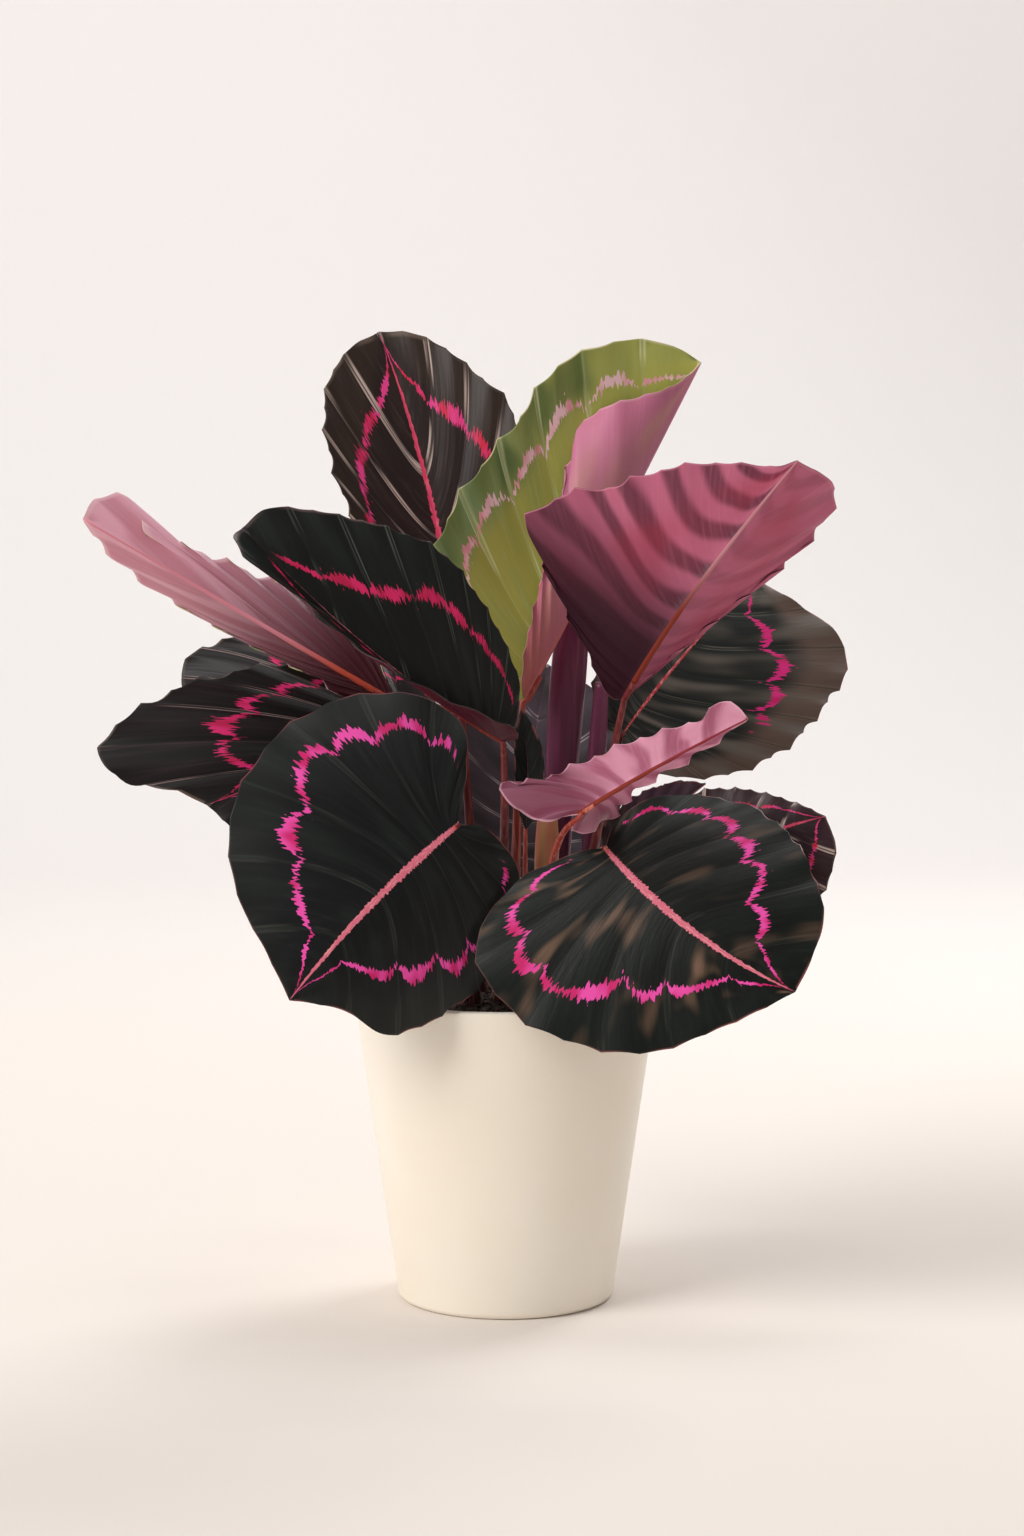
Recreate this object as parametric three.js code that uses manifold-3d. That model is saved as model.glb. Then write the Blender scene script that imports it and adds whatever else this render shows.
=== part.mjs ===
// Potted calathea roseopicta: a tapered pot filled with peat, and a tuft of broad
// oval leaves on slim stalks. Millimetres, +Z up. The origin is the middle of the
// pot's flat base, and the plant's best side faces -Y.
import * as THREE from 'three';
import { mergeVertices } from 'three/addons/utils/BufferGeometryUtils.js';
import Module from 'manifold-3d';

const wasm = await Module();
wasm.setup();

// Driving dimensions
const POT_HEIGHT = 143;
const POT_RIM_RADIUS = 70;
const POT_BASE_RADIUS = 49.5;
const POT_WALL = 4.5;
const POT_FLOOR = 6;
const POT_SIDES = 44;
const POT_FOOT_ROUND = { width: 3, height: 3.2, slope: 0.9, corner: 0.6 };
const POT_RIM_ROUND = 1;
const SOIL_TOP = 136;
const SOIL_MOUND = 3;
const SOIL_RINGS = 4;
const SOIL_LUMPS = { coarse: 0.9, fine: 0.5 };
const GAP = 0.3;
const BLADE_THICKNESS = 0.8;
const BLADE_BANDS = 5;
const MIDRIB_HEIGHT = 1.3;
const MIDRIB_EDGE = 0.06;
const MIDRIB_TAPER = 0.8;
const VEIN_START = 0.15;
const WAVE_FADE = 0.25;
const PLEAT_RISE = 0.7;
const PLEAT_MIDDLE = 0.6;
const STALK_DEPTH = 12;
const STALK_HOLE_GAP = 0.8;
const STALK_END_GAP = 3;
const STALK_SIDES = 7;
const STALK_STEPS = 7;
const SHOOT_SIDES = 10;
const SHOOT_STEPS = 9;
const SHOOT_SWELL = 2.2;
const HOLE_SIDES = 10;

const COLOURS = {
  cream: { color: 0xf2e8d8, roughness: 0.45 },
  peat: { color: 0x4a3c34, roughness: 1.0 },
  darkLeaf: { color: 0x2c332c, roughness: 0.5 },
  brownLeaf: { color: 0x4a3a33, roughness: 0.5 },
  youngLeaf: { color: 0x9a9a55, roughness: 0.55 },
  roseUnderside: { color: 0xa85e7c, roughness: 0.6 },
  plumStalk: { color: 0x7a4452, roughness: 0.45 },
  orangeStalk: { color: 0xa8543c, roughness: 0.45 },
};

function material(name) {
  return new THREE.MeshStandardMaterial({ metalness: 0, ...COLOURS[name] });
}

// One half of a blade. The outline runs from the stalk to the tip, as distances along
// the midrib and out from it. Fold is the angle at the midrib, and curl is the bend from
// the midrib to the widest edge, both at the stalk and at the tip: positive turns the
// half towards the upper face.
function half(outline, foldBase, foldTip, curlBase, curlTip) {
  return { outline, fold: [foldBase, foldTip], curl: [curlBase, curlTip] };
}

// Each leaf: the number of side veins of a half, how far they sweep to the tip and how
// much they bow on the way (1 is straight), the height of the pleats between them, the
// share by which the edge stands out between veins (less than 0 for peaks at the veins),
// the midrib through three points, the way the upper face looks at the stalk and at the
// tip, the two halves seen from above with the tip away from the viewer, and the stalk's
// foot in the peat and the points that the stalk bends towards.
const LEAVES = [
  {
    name: 'front_left', colour: 'darkLeaf', veins: 8, sweep: 3.2, bow: 1.5,
    pleat: 0.7, scallop: -0.015,
    midrib: [[-21, -60, 225], [-58, -84, 193], [-93, -96, 153]],
    facing: [[-0.1, -1, 0.2], [-0.1, -1, 0.1]],
    left: half(
      [[-11, 11], [-12, 33], [1, 56], [30, 66], [70, 59], [94, 45], [98, 22]],
      -8, -8, -42, -36,
    ),
    right: half(
      [[-27, 21], [-39, 40], [-29, 65], [-3, 82], [30, 86], [65, 74], [88, 48], [99, 22]],
      0, 0, -15, -10,
    ),
    foot: [-12, -22], bends: [[-22, -26, 220]], stalk: 'plumStalk', radius: [3, 1.9],
  },
  {
    name: 'front_right', colour: 'darkLeaf', veins: 8, sweep: 3, bow: 1.5,
    pleat: 0.7, scallop: -0.015,
    midrib: [[44, -60, 215], [81, -86, 182], [125, -98, 157]],
    facing: [[0.1, -1, 0.2], [0.1, -1, 0.1]],
    left: half(
      [[-8, 12], [-11, 29], [-2, 54], [24, 70], [71, 64], [104, 41], [109, 18]],
      -8, -8, -25, -25,
    ),
    right: half(
      [[-8, 16], [-12, 42], [-4, 66], [10, 78], [32, 78], [53, 68], [71, 54], [88, 29]],
      0, 0, -2, -8,
    ),
    foot: [22, -24], bends: [[36, -30, 204]], stalk: 'orangeStalk', radius: [3, 1.9],
  },
  {
    name: 'mid_left', colour: 'darkLeaf', veins: 9, sweep: 5, bow: 1.2,
    pleat: 1, scallop: -0.03,
    midrib: [[-1, -58, 262], [-55, -82, 301], [-113, -80, 356]],
    facing: [[0, -1, 0.1], [0, -1, 0.2]],
    left: half([[2, 14], [18, 24], [50, 22], [83, 16], [121, 9], [138, 14], [150, 9]], 108, 42, 10, 20),
    right: half(
      [[-1, 10], [3, 21], [12, 31], [39, 45], [77, 54], [110, 44], [139, 26], [151, 13]],
      0, 0, -10, -20,
    ),
    foot: [-3, -12], bends: [[1, -22, 236]], stalk: 'plumStalk', radius: [3.2, 2],
  },
  {
    name: 'back_left', colour: 'brownLeaf', veins: 8, sweep: 7, bow: 1.1, pleat: 1, scallop: -0.03,
    midrib: [[-25, 30, 321], [-41, 50, 390], [-60, 68, 446]],
    facing: [[0.05, -0.95, 0.3], [0.05, -0.9, 0.4]],
    left: half([[0, 11], [17, 30], [51, 43], [85, 45], [113, 36], [130, 18]], 12, 12, 15, 15),
    right: half([[-1, 13], [23, 34], [55, 47], [81, 48], [99, 38], [119, 25], [130, 13]], 8, 8, 10, 10),
    foot: [-10, 14], bends: [[-18, 26, 240]], stalk: 'plumStalk', radius: [3, 1.9],
  },
  {
    name: 'young', colour: 'youngLeaf', veins: 9, sweep: 3, bow: 1.2, pleat: 1.2, scallop: -0.03,
    midrib: [[8, -10, 276], [45, 0, 345], [89, 12, 430]],
    facing: [[-0.9, -0.35, 0.2], [-0.85, -0.5, 0.1]],
    left: half(
      [[0, 12], [10, 41], [37, 67], [70, 71], [110, 64], [139, 60], [155, 50], [170, 33], [176, 14]],
      60, 60, 25, 25,
    ),
    right: half([[16, 12], [61, 25], [98, 35], [125, 42], [144, 25], [161, 8]], 60, 60, 110, 110),
    foot: [4, 2], bends: [[4, -2, 220]], stalk: 'orangeStalk', radius: [3.2, 2.2],
  },
  {
    name: 'right_top', colour: 'roseUnderside', veins: 9, sweep: 3, bow: 2,
    pleat: 1.6, scallop: -0.05,
    midrib: [[53, -40, 279], [81, -62, 326], [126, -76, 385]],
    facing: [[0.18, 0.95, 0.24], [0.18, 0.95, 0.24]],
    left: half([[14, 4], [39, 14], [67, 24], [100, 36], [124, 37], [136, 25]], 30, 30, 20, 20),
    right: half(
      [[-2, 8], [11, 24], [34, 60], [43, 77], [60, 74], [77, 57], [99, 41], [116, 22], [126, 7]],
      0, 0, 0, 20,
    ),
    foot: [26, -6], bends: [[42, -16, 225]], stalk: 'plumStalk', radius: [3.2, 2.1],
  },
  {
    name: 'right', colour: 'darkLeaf', veins: 9, sweep: 3, bow: 1.4, pleat: 0.9, scallop: -0.03,
    midrib: [[54, 8, 260], [86, 34, 298], [120, 70, 329]],
    facing: [[0.1, -0.8, 0.55], [0.1, -0.8, 0.55]],
    left: half([[-3, 11], [15, 27], [50, 35], [85, 30], [105, 15]], 0, 0, 10, 10),
    right: half(
      [[-11, 8], [-3, 31], [18, 53], [53, 66], [93, 66], [121, 60], [126, 40], [119, 18]],
      -5, -5, -20, -25,
    ),
    foot: [40, 12], bends: [[47, 34, 228]], stalk: 'plumStalk', radius: [3, 1.9],
  },
  {
    name: 'low_centre', colour: 'roseUnderside', veins: 8, sweep: 2.4, bow: 1.5,
    pleat: 2, scallop: -0.08,
    midrib: [[34, -76, 233], [66, -90, 254], [104, -96, 275]],
    facing: [[-0.1, 0.95, 0.3], [-0.1, 0.95, 0.3]],
    left: half([[-16, 10], [-16, 22], [-6, 29], [10, 19], [28, 11], [48, 11], [68, 7]], 40, 40, 10, 10),
    right: half(
      [[-16, 5], [-25, 14], [-27, 32], [-14, 25], [8, 20], [31, 17], [52, 13], [67, 10], [77, 13], [83, 8]],
      10, 10, 25, 25,
    ),
    foot: [14, -30], bends: [[18, -30, 236], [28, -84, 222]], stalk: 'orangeStalk', radius: [2.6, 1.7],
  },
  {
    name: 'left_high', colour: 'roseUnderside', veins: 9, sweep: 6, bow: 1.1,
    pleat: 1.6, scallop: -0.05,
    midrib: [[-48, -16, 275], [-114, -18, 314], [-190, -16, 359]],
    facing: [[0.1, 0.95, 0.3], [0.2, 0.95, 0.3]],
    left: half(
      [[22, 15], [56, 25], [91, 21], [122, 14], [138, 10], [152, 22], [165, 13]],
      30, 30, 50, 50,
    ),
    right: half([[12, 16], [49, 16], [88, 23], [122, 26], [151, 12]], 20, 20, 40, 40),
    foot: [-17, -13], bends: [[-26, -16, 240]], stalk: 'plumStalk', radius: [2.8, 1.8],
  },
  {
    name: 'left_low', colour: 'brownLeaf', veins: 9, sweep: 6, bow: 1.15,
    pleat: 2.2, scallop: -0.05,
    midrib: [[-37, 10, 259], [-84, -16, 248], [-134, -30, 231]],
    facing: [[-0.2, -0.95, 0.3], [-0.3, -0.95, 0.2]],
    left: half([[-7, 16], [0, 37], [33, 53], [72, 46], [98, 24]], 0, 0, -20, -20),
    right: half(
      [[-13, 15], [-15, 32], [4, 46], [71, 57], [111, 58], [144, 47], [141, 27], [119, 11]],
      0, 0, -10, -10,
    ),
    foot: [-24, 6], bends: [[-18, 34, 244]], stalk: 'plumStalk', radius: [2.8, 1.8],
  },
  {
    name: 'left_back', colour: 'brownLeaf', veins: 8, sweep: 5, bow: 1.15,
    pleat: 2.2, scallop: -0.05,
    midrib: [[-50, 40, 266], [-98, 62, 272], [-147, 74, 269]],
    facing: [[-0.2, -0.9, 0.4], [-0.2, -0.9, 0.4]],
    left: half([[1, 17], [36, 33], [78, 27]], 0, 0, -20, -20),
    right: half([[15, 18], [50, 31], [86, 35], [110, 25], [111, 8]], 0, 0, -10, -10),
    foot: [-26, 24], bends: [[-38, 58, 244]], stalk: 'plumStalk', radius: [2.6, 1.7],
  },
  {
    name: 'right_low_back', colour: 'darkLeaf', veins: 7, sweep: 2.6, bow: 1.4,
    pleat: 0.8, scallop: -0.03,
    midrib: [[83, -22, 203], [112, -34, 217], [143, -40, 227]],
    facing: [[0.2, -0.9, 0.4], [0.3, -0.9, 0.3]],
    left: half([[-2, 15], [11, 30], [34, 24], [56, 10]], 0, 0, -10, -10),
    right: half([[0, 17], [22, 36], [52, 37], [68, 18]], 0, 0, -20, -20),
    foot: [38, -12], bends: [[66, -2, 190]], stalk: 'plumStalk', radius: [2.4, 1.6],
  },
  {
    name: 'right_low', colour: 'darkLeaf', veins: 7, sweep: 2.4, bow: 1.4,
    pleat: 0.8, scallop: -0.03,
    midrib: [[46, -7, 206], [69, -9, 222], [91, -10, 239]],
    facing: [[0, -0.1, 1], [0, -0.1, 1]],
    left: half([[6, 14], [26, 24], [46, 16]], 15, 15, 15, 15),
    right: half([[6, 14], [26, 19], [46, 12]], 60, 55, 15, 15),
    foot: [38, -20], bends: [[44, -12, 186]], stalk: 'plumStalk', radius: [2.2, 1.5],
  },
  {
    name: 'back', colour: 'darkLeaf', veins: 8, sweep: 2.6, bow: 1.4, pleat: 1.4, scallop: -0.03,
    midrib: [[3, 46, 193], [11, 54, 239], [20, 62, 289]],
    facing: [[0, -1, 0.1], [0, -1, 0.1]],
    left: half([[-8, 18], [14, 40], [50, 46], [80, 34]], 5, 5, 10, 10),
    right: half([[-8, 18], [14, 40], [50, 48], [84, 36]], 5, 5, 10, 10),
    foot: [4, 28], bends: [[4, 60, 176]], stalk: 'plumStalk', radius: [2.6, 1.7],
  },
  {
    name: 'inner', colour: 'darkLeaf', veins: 6, sweep: 2.2, bow: 1.3, pleat: 0.3, scallop: 0,
    midrib: [[9, -36, 220], [10, -40, 248], [7, -36, 276]],
    facing: [[0, -1, 0.1], [0, -1, 0.1]],
    left: half([[16, 6], [40, 6]], 20, 20, 20, 20),
    right: half([[14, 7], [36, 8]], 20, 20, 20, 20),
    foot: [7, -16], bends: [[9, -28, 190]], stalk: 'orangeStalk', radius: [2.2, 1.5],
  },
];

// Rolled young leaves and the sheaths of spent ones: foot in the peat, a middle point and
// the tip, with the radius at the foot, at the swell and at the tip.
const SHOOTS = [
  {
    name: 'rolled_leaf', colour: 'plumStalk', foot: [22, 8], middle: [26, 12, 250], tip: [35, 18, 342],
    radius: [5, 9.6, 4], flat: 0.7,
  },
  {
    name: 'rolled_leaf_small', colour: 'plumStalk', foot: [33, 2], middle: [41, 3, 240], tip: [44, 3, 284],
    radius: [3, 4.4, 3.2], flat: 0.8,
  },
  {
    name: 'sheath', colour: 'orangeStalk', foot: [16, -19], middle: [18, -23, 190], tip: [19, -24, 234],
    radius: [3, 5.4, 3.6], flat: 0.7,
  },
];

const LEFT = -1;
const RIGHT = 1;
const radians = THREE.MathUtils.degToRad;
const lerp = THREE.MathUtils.lerp;
const vector = (point) => new THREE.Vector3(...point);

// A quadratic curve that passes through its middle point.
function curveThrough(start, middle, end) {
  const control = middle.clone().multiplyScalar(2).addScaledVector(start, -0.5).addScaledVector(end, -0.5);
  return new THREE.QuadraticBezierCurve3(start, control, end);
}

// The frame of the midrib at a distance from the stalk: place, way to the tip, upper way
// and the way to the right half. Behind the stalk's joint it runs on straight.
function midribFrame(leaf, distance) {
  const share = THREE.MathUtils.clamp(distance / leaf.length, 0, 1);
  const place = leaf.curve.getPointAt(share);
  const along = leaf.curve.getTangentAt(share);
  place.addScaledVector(along, distance - share * leaf.length);
  const up = vector(leaf.facing[0]).lerp(vector(leaf.facing[1]), share);
  up.addScaledVector(along, -up.dot(along)).normalize();
  const right = along.clone().cross(up);
  return { place, share, up, right };
}

// Wave between the side veins: lowest on a vein and highest halfway to the next.
function veinWave(leaf, u) {
  return Math.abs(Math.sin(Math.PI * leaf.veins * u)) - PLEAT_MIDDLE;
}

// A point of the blade's middle surface and its upper normal. u runs from the stalk to
// the tip along a side vein's foot, and v from the midrib to the edge.
function bladePoint(leaf, side, u, v) {
  const rim = leaf.edges[side].getPointAt(u);
  const shape = side === RIGHT ? leaf.right : leaf.left;
  const fade = Math.max(Math.sin(Math.PI * u), 0) ** WAVE_FADE;
  const reach = rim.y * (1 + leaf.scallop * veinWave(leaf, u) * fade);
  const foot = leaf.length * lerp(u ** leaf.sweep, u, VEIN_START);
  const distance = foot + (rim.x - foot) * v ** leaf.bow;
  const out = reach * v;
  const { place, share, up, right } = midribFrame(leaf, distance);
  const fold = radians(lerp(shape.fold[0], shape.fold[1], share));
  const bend = radians(lerp(shape.curl[0], shape.curl[1], share)) / shape.width || 1e-6;
  const angle = fold + bend * out;
  const sideways = (Math.sin(angle) - Math.sin(fold)) / bend;
  const raised = (Math.cos(fold) - Math.cos(angle)) / bend;
  const normal = up.clone().multiplyScalar(Math.cos(angle));
  normal.addScaledVector(right, -side * Math.sin(angle));
  const point = place.addScaledVector(right, side * sideways).addScaledVector(up, raised);
  point.addScaledVector(normal, leaf.pleat * veinWave(leaf, u) * v ** PLEAT_RISE * fade);
  return { point, normal };
}

function prepareLeaf(leaf) {
  leaf.curve = curveThrough(...leaf.midrib.map(vector));
  leaf.length = leaf.curve.getLength();
  leaf.edges = {};
  for (const [side, shape] of [[LEFT, leaf.left], [RIGHT, leaf.right]]) {
    const points = [[0, 0], ...shape.outline, [leaf.length, 0]];
    shape.width = Math.max(...shape.outline.map((point) => point[1]));
    const places = points.map(([x, y]) => new THREE.Vector3(x, y, 0));
    leaf.edges[side] = new THREE.CatmullRomCurve3(places, false, 'catmullrom', 0.5);
  }
}

// Offset from the middle surface to one face. At the midrib the two halves' normals are
// mitred, and the lower face has the raised midrib.
function faceOffset(leaf, face, u, v, normal, mitre) {
  if (v !== 0) return normal.clone().multiplyScalar(face * BLADE_THICKNESS / 2);
  const offset = mitre.clone().multiplyScalar(face * BLADE_THICKNESS / 2);
  const raised = MIDRIB_HEIGHT * (1 - MIDRIB_TAPER * u);
  if (face < 0) offset.addScaledVector(mitre.clone().normalize(), -raised);
  return offset;
}

// A closed surface from its corners' coordinates and its triangles.
function surfaceGeometry(coordinates, triangles) {
  const geometry = new THREE.BufferGeometry();
  geometry.setAttribute('position', new THREE.Float32BufferAttribute(coordinates, 3));
  geometry.setIndex(triangles);
  geometry.computeVertexNormals();
  return geometry;
}

// A blade as one closed solid: a grid of points on each face, joined round the edge.
function bladeGeometry(leaf) {
  const steps = 2 * leaf.veins;
  const spread = [0, MIDRIB_EDGE];
  for (let band = 2; band <= BLADE_BANDS; band += 1) spread.push((band - 1) / (BLADE_BANDS - 1));
  const across = [];
  for (let index = BLADE_BANDS; index > 0; index -= 1) across.push([LEFT, spread[index]]);
  for (let index = 0; index <= BLADE_BANDS; index += 1) across.push([RIGHT, spread[index]]);
  const positions = [];
  const grids = [1, -1].map((face) => {
    const grid = [];
    for (let step = 0; step <= steps; step += 1) {
      const u = step / steps;
      const leftNormal = bladePoint(leaf, LEFT, u, 0).normal;
      const rightNormal = bladePoint(leaf, RIGHT, u, 0).normal;
      const mitre = leftNormal.clone().add(rightNormal).divideScalar(1 + leftNormal.dot(rightNormal));
      const pole = step === 0 || step === steps;
      const row = [];
      for (const [side, v] of across) {
        if (pole && row.length > 0) {
          row.push(row[0]);
          continue;
        }
        const { point, normal } = bladePoint(leaf, side, u, pole ? 0 : v);
        point.add(faceOffset(leaf, face, u, pole ? 0 : v, normal, mitre));
        row.push(positions.length / 3);
        positions.push(point.x, point.y, point.z);
      }
      grid.push(row);
    }
    return grid;
  });
  const indices = [];
  const triangle = (a, b, c) => {
    if (a !== b && b !== c && c !== a) indices.push(a, b, c);
  };
  const last = across.length - 1;
  const [upper, lower] = grids;
  for (let step = 0; step < steps; step += 1) {
    for (let place = 0; place < last; place += 1) {
      const flip = place < last / 2;
      for (const [grid, reversed] of [[upper, false], [lower, true]]) {
        const a = grid[step][place];
        const b = grid[step][place + 1];
        const c = grid[step + 1][place + 1];
        const d = grid[step + 1][place];
        const pairs = flip ? [[a, b, c], [a, c, d]] : [[a, b, d], [b, c, d]];
        for (const [p, q, r] of pairs) {
          if (reversed) triangle(p, r, q);
          else triangle(p, q, r);
        }
      }
    }
    for (const [place, reversed] of [[0, false], [last, true]]) {
      const a = upper[step][place];
      const b = upper[step + 1][place];
      const c = lower[step + 1][place];
      const d = lower[step][place];
      if (reversed) {
        triangle(a, c, b);
        triangle(a, d, c);
      } else {
        triangle(a, b, c);
        triangle(a, c, d);
      }
    }
  }
  return surfaceGeometry(positions, indices);
}

// A tapering rod along a curve, closed at both ends.
function rodGeometry(curve, radiusAt, sides, steps, flat = 1) {
  const positions = [];
  const indices = [];
  const frames = curve.computeFrenetFrames(steps, false);
  for (let step = 0; step <= steps; step += 1) {
    const centre = curve.getPointAt(step / steps);
    const radius = radiusAt(step / steps);
    for (let corner = 0; corner < sides; corner += 1) {
      const angle = 2 * Math.PI * corner / sides;
      const place = centre.clone();
      place.addScaledVector(frames.normals[step], radius * Math.cos(angle));
      place.addScaledVector(frames.binormals[step], radius * flat * Math.sin(angle));
      positions.push(place.x, place.y, place.z);
    }
  }
  for (let step = 0; step < steps; step += 1) {
    for (let corner = 0; corner < sides; corner += 1) {
      const a = step * sides + corner;
      const b = step * sides + (corner + 1) % sides;
      indices.push(a, b, b + sides, a, b + sides, a + sides);
    }
  }
  const end = steps * sides;
  for (let corner = 1; corner < sides - 1; corner += 1) {
    indices.push(0, corner + 1, corner);
    indices.push(end, end + corner, end + corner + 1);
  }
  return surfaceGeometry(positions, indices);
}

function solid(geometry) {
  const bare = geometry.clone();
  bare.deleteAttribute('normal');
  if (bare.getAttribute('uv')) bare.deleteAttribute('uv');
  const merged = mergeVertices(bare, 1e-4);
  return new wasm.Manifold(new wasm.Mesh({
    numProp: 3,
    vertProperties: new Float32Array(merged.getAttribute('position').array),
    triVerts: new Uint32Array(merged.getIndex().array),
  }));
}

function meshGeometry(body) {
  const mesh = body.getMesh();
  return surfaceGeometry(mesh.vertProperties, [...mesh.triVerts]);
}

// A turned solid about +Z from a profile of radius and height.
function turned(profile, sides) {
  const points = profile.map(([radius, height]) => new THREE.Vector2(radius, height));
  return new THREE.LatheGeometry(points, sides).rotateX(Math.PI / 2);
}

// From the foot in the peat, past one or two bends, to just short of the blade.
function stalkCurve(leaf) {
  const foot = new THREE.Vector3(...leaf.foot, SOIL_TOP - STALK_DEPTH);
  const bends = leaf.bends.map(vector);
  const end = vector(leaf.midrib[0]);
  end.addScaledVector(bends.at(-1).clone().sub(end).normalize(), STALK_END_GAP);
  if (bends.length === 1) return new THREE.QuadraticBezierCurve3(foot, bends[0], end);
  return new THREE.CubicBezierCurve3(foot, bends[0], bends[1], end);
}

const plant = new THREE.Group();

function addPiece(name, geometry, colour) {
  const mesh = new THREE.Mesh(geometry, material(colour));
  mesh.name = name;
  plant.add(mesh);
}

// Pot
const wallSlope = (POT_RIM_RADIUS - POT_BASE_RADIUS) / POT_HEIGHT;
const outerRadius = (height) => POT_BASE_RADIUS + wallSlope * height;
const rimEdge = POT_HEIGHT - POT_RIM_ROUND;
const potProfile = [
  [0, 0],
  [POT_BASE_RADIUS - POT_FOOT_ROUND.width, 0],
  [POT_BASE_RADIUS - POT_FOOT_ROUND.corner, POT_FOOT_ROUND.slope],
  [outerRadius(POT_FOOT_ROUND.height), POT_FOOT_ROUND.height],
  [outerRadius(rimEdge), rimEdge],
  [POT_RIM_RADIUS - POT_RIM_ROUND, POT_HEIGHT],
  [POT_RIM_RADIUS - POT_WALL + POT_RIM_ROUND, POT_HEIGHT],
  [outerRadius(rimEdge) - POT_WALL, rimEdge],
  [outerRadius(POT_FLOOR) - POT_WALL, POT_FLOOR],
  [0, POT_FLOOR],
];
addPiece('pot', turned(potProfile, POT_SIDES), 'cream');

// Stalks, each from its hole in the peat to just under its blade
for (const leaf of LEAVES) {
  prepareLeaf(leaf);
  leaf.route = stalkCurve(leaf);
  leaf.radiusAt = (share) => lerp(leaf.radius[0], leaf.radius[1], share);
  const stalk = rodGeometry(leaf.route, leaf.radiusAt, STALK_SIDES, STALK_STEPS);
  addPiece(`stalk_${leaf.name}`, stalk, leaf.stalk);
}

// Blades
for (const leaf of LEAVES) addPiece(`blade_${leaf.name}`, bladeGeometry(leaf), leaf.colour);

// Rolled leaves and sheaths that stand up between the stalks
for (const shoot of SHOOTS) {
  const foot = new THREE.Vector3(...shoot.foot, SOIL_TOP - STALK_DEPTH);
  shoot.route = curveThrough(foot, vector(shoot.middle), vector(shoot.tip));
  shoot.radiusAt = (share) => {
    const [low, swollen, high] = shoot.radius;
    return lerp(low, high, share) + (swollen - low) * Math.sin(Math.PI * share ** SHOOT_SWELL);
  };
  const body = rodGeometry(shoot.route, shoot.radiusAt, SHOOT_SIDES, SHOOT_STEPS, shoot.flat);
  addPiece(shoot.name, body, shoot.colour);
}

// Peat, with a low mound, small lumps and a plain hole round each stalk
const soilFloor = POT_FLOOR + GAP;
const soilRadius = (height) => outerRadius(height) - POT_WALL - GAP;
const soilProfile = [[0, soilFloor], [soilRadius(soilFloor), soilFloor]];
for (let ring = SOIL_RINGS; ring >= 0; ring -= 1) {
  const share = ring / SOIL_RINGS;
  soilProfile.push([soilRadius(SOIL_TOP) * share, SOIL_TOP + SOIL_MOUND * (1 - share * share)]);
}
const soilGeometry = turned(soilProfile, POT_SIDES);
const soilPoints = soilGeometry.getAttribute('position');
for (let index = 0; index < soilPoints.count; index += 1) {
  const x = soilPoints.getX(index);
  const y = soilPoints.getY(index);
  const z = soilPoints.getZ(index);
  const coarse = SOIL_LUMPS.coarse * Math.sin(x * 0.61 + 1.3) * Math.cos(y * 0.53);
  const fine = SOIL_LUMPS.fine * Math.sin(x * 0.23 - y * 0.37);
  if (z > SOIL_TOP + 0.01) soilPoints.setZ(index, z + coarse + fine);
}
let soil = solid(soilGeometry);
for (const { route, radiusAt } of [...LEAVES, ...SHOOTS]) {
  const foot = route.getPointAt(0);
  const way = route.getTangentAt(0);
  const top = foot.clone().addScaledVector(way, 2 * STALK_DEPTH);
  foot.addScaledVector(way, -GAP);
  const radius = radiusAt(0.1) + STALK_HOLE_GAP;
  const hole = rodGeometry(new THREE.LineCurve3(foot, top), () => radius, HOLE_SIDES, 1);
  soil = soil.subtract(solid(hole));
}
addPiece('soil', meshGeometry(soil), 'peat');

export default plant;
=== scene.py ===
import math

import bpy
import numpy as np
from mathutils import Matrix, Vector, noise


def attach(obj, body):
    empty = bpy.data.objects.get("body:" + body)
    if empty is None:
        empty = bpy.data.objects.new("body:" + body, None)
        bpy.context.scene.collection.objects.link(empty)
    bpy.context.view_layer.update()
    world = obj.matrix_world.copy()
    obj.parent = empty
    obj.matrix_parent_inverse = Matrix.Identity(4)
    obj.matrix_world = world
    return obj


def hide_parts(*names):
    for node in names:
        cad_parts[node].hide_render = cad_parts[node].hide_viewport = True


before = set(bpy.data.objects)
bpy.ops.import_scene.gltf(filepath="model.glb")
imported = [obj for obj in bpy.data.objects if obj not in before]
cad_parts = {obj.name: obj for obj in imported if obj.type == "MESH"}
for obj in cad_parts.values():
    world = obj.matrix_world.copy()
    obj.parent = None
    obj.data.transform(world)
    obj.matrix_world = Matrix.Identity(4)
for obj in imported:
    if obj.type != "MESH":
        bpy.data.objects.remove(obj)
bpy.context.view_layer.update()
MM = 0.001

# Pot
# A tapered plant pot, open at the top, made in one piece with a smooth wall, a small
# rounded foot edge and a plain thin rim, and finished in satin cream inside and out.
POT_HEIGHT = 143 * MM
POT_RIM_RADIUS = 70 * MM
POT_BASE_RADIUS = 49.5 * MM
POT_WALL = 4.5 * MM
POT_FLOOR = 6 * MM
POT_SIDES = 160
WALL_STEPS = 12
WALL_LEAN = 8
FOOT_ROUND = 3.4 * MM
FOOT_STEPS = 8
RIM_ROUND = 1.1 * MM
RIM_STEPS = 6
WELD_DISTANCE = 0.001 * MM
COAT_ROUGHNESS = 0.2
GLAZE_RELIEF = 0.04 * MM


def shade(red, green, blue):
    """A colour given as it looks on a screen, 0 to 255, as linear light."""
    def linear(value):
        value = value / 255
        return value / 12.92 if value < 0.04045 else ((value + 0.055) / 1.055) ** 2.4
    return (linear(red), linear(green), linear(blue), 1)


def plug(value, socket):
    """Links a wire to a socket, or sets the socket to a plain value."""
    if isinstance(value, Wire):
        value.tree.links.new(value.socket, socket)
    else:
        socket.default_value = value


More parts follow.
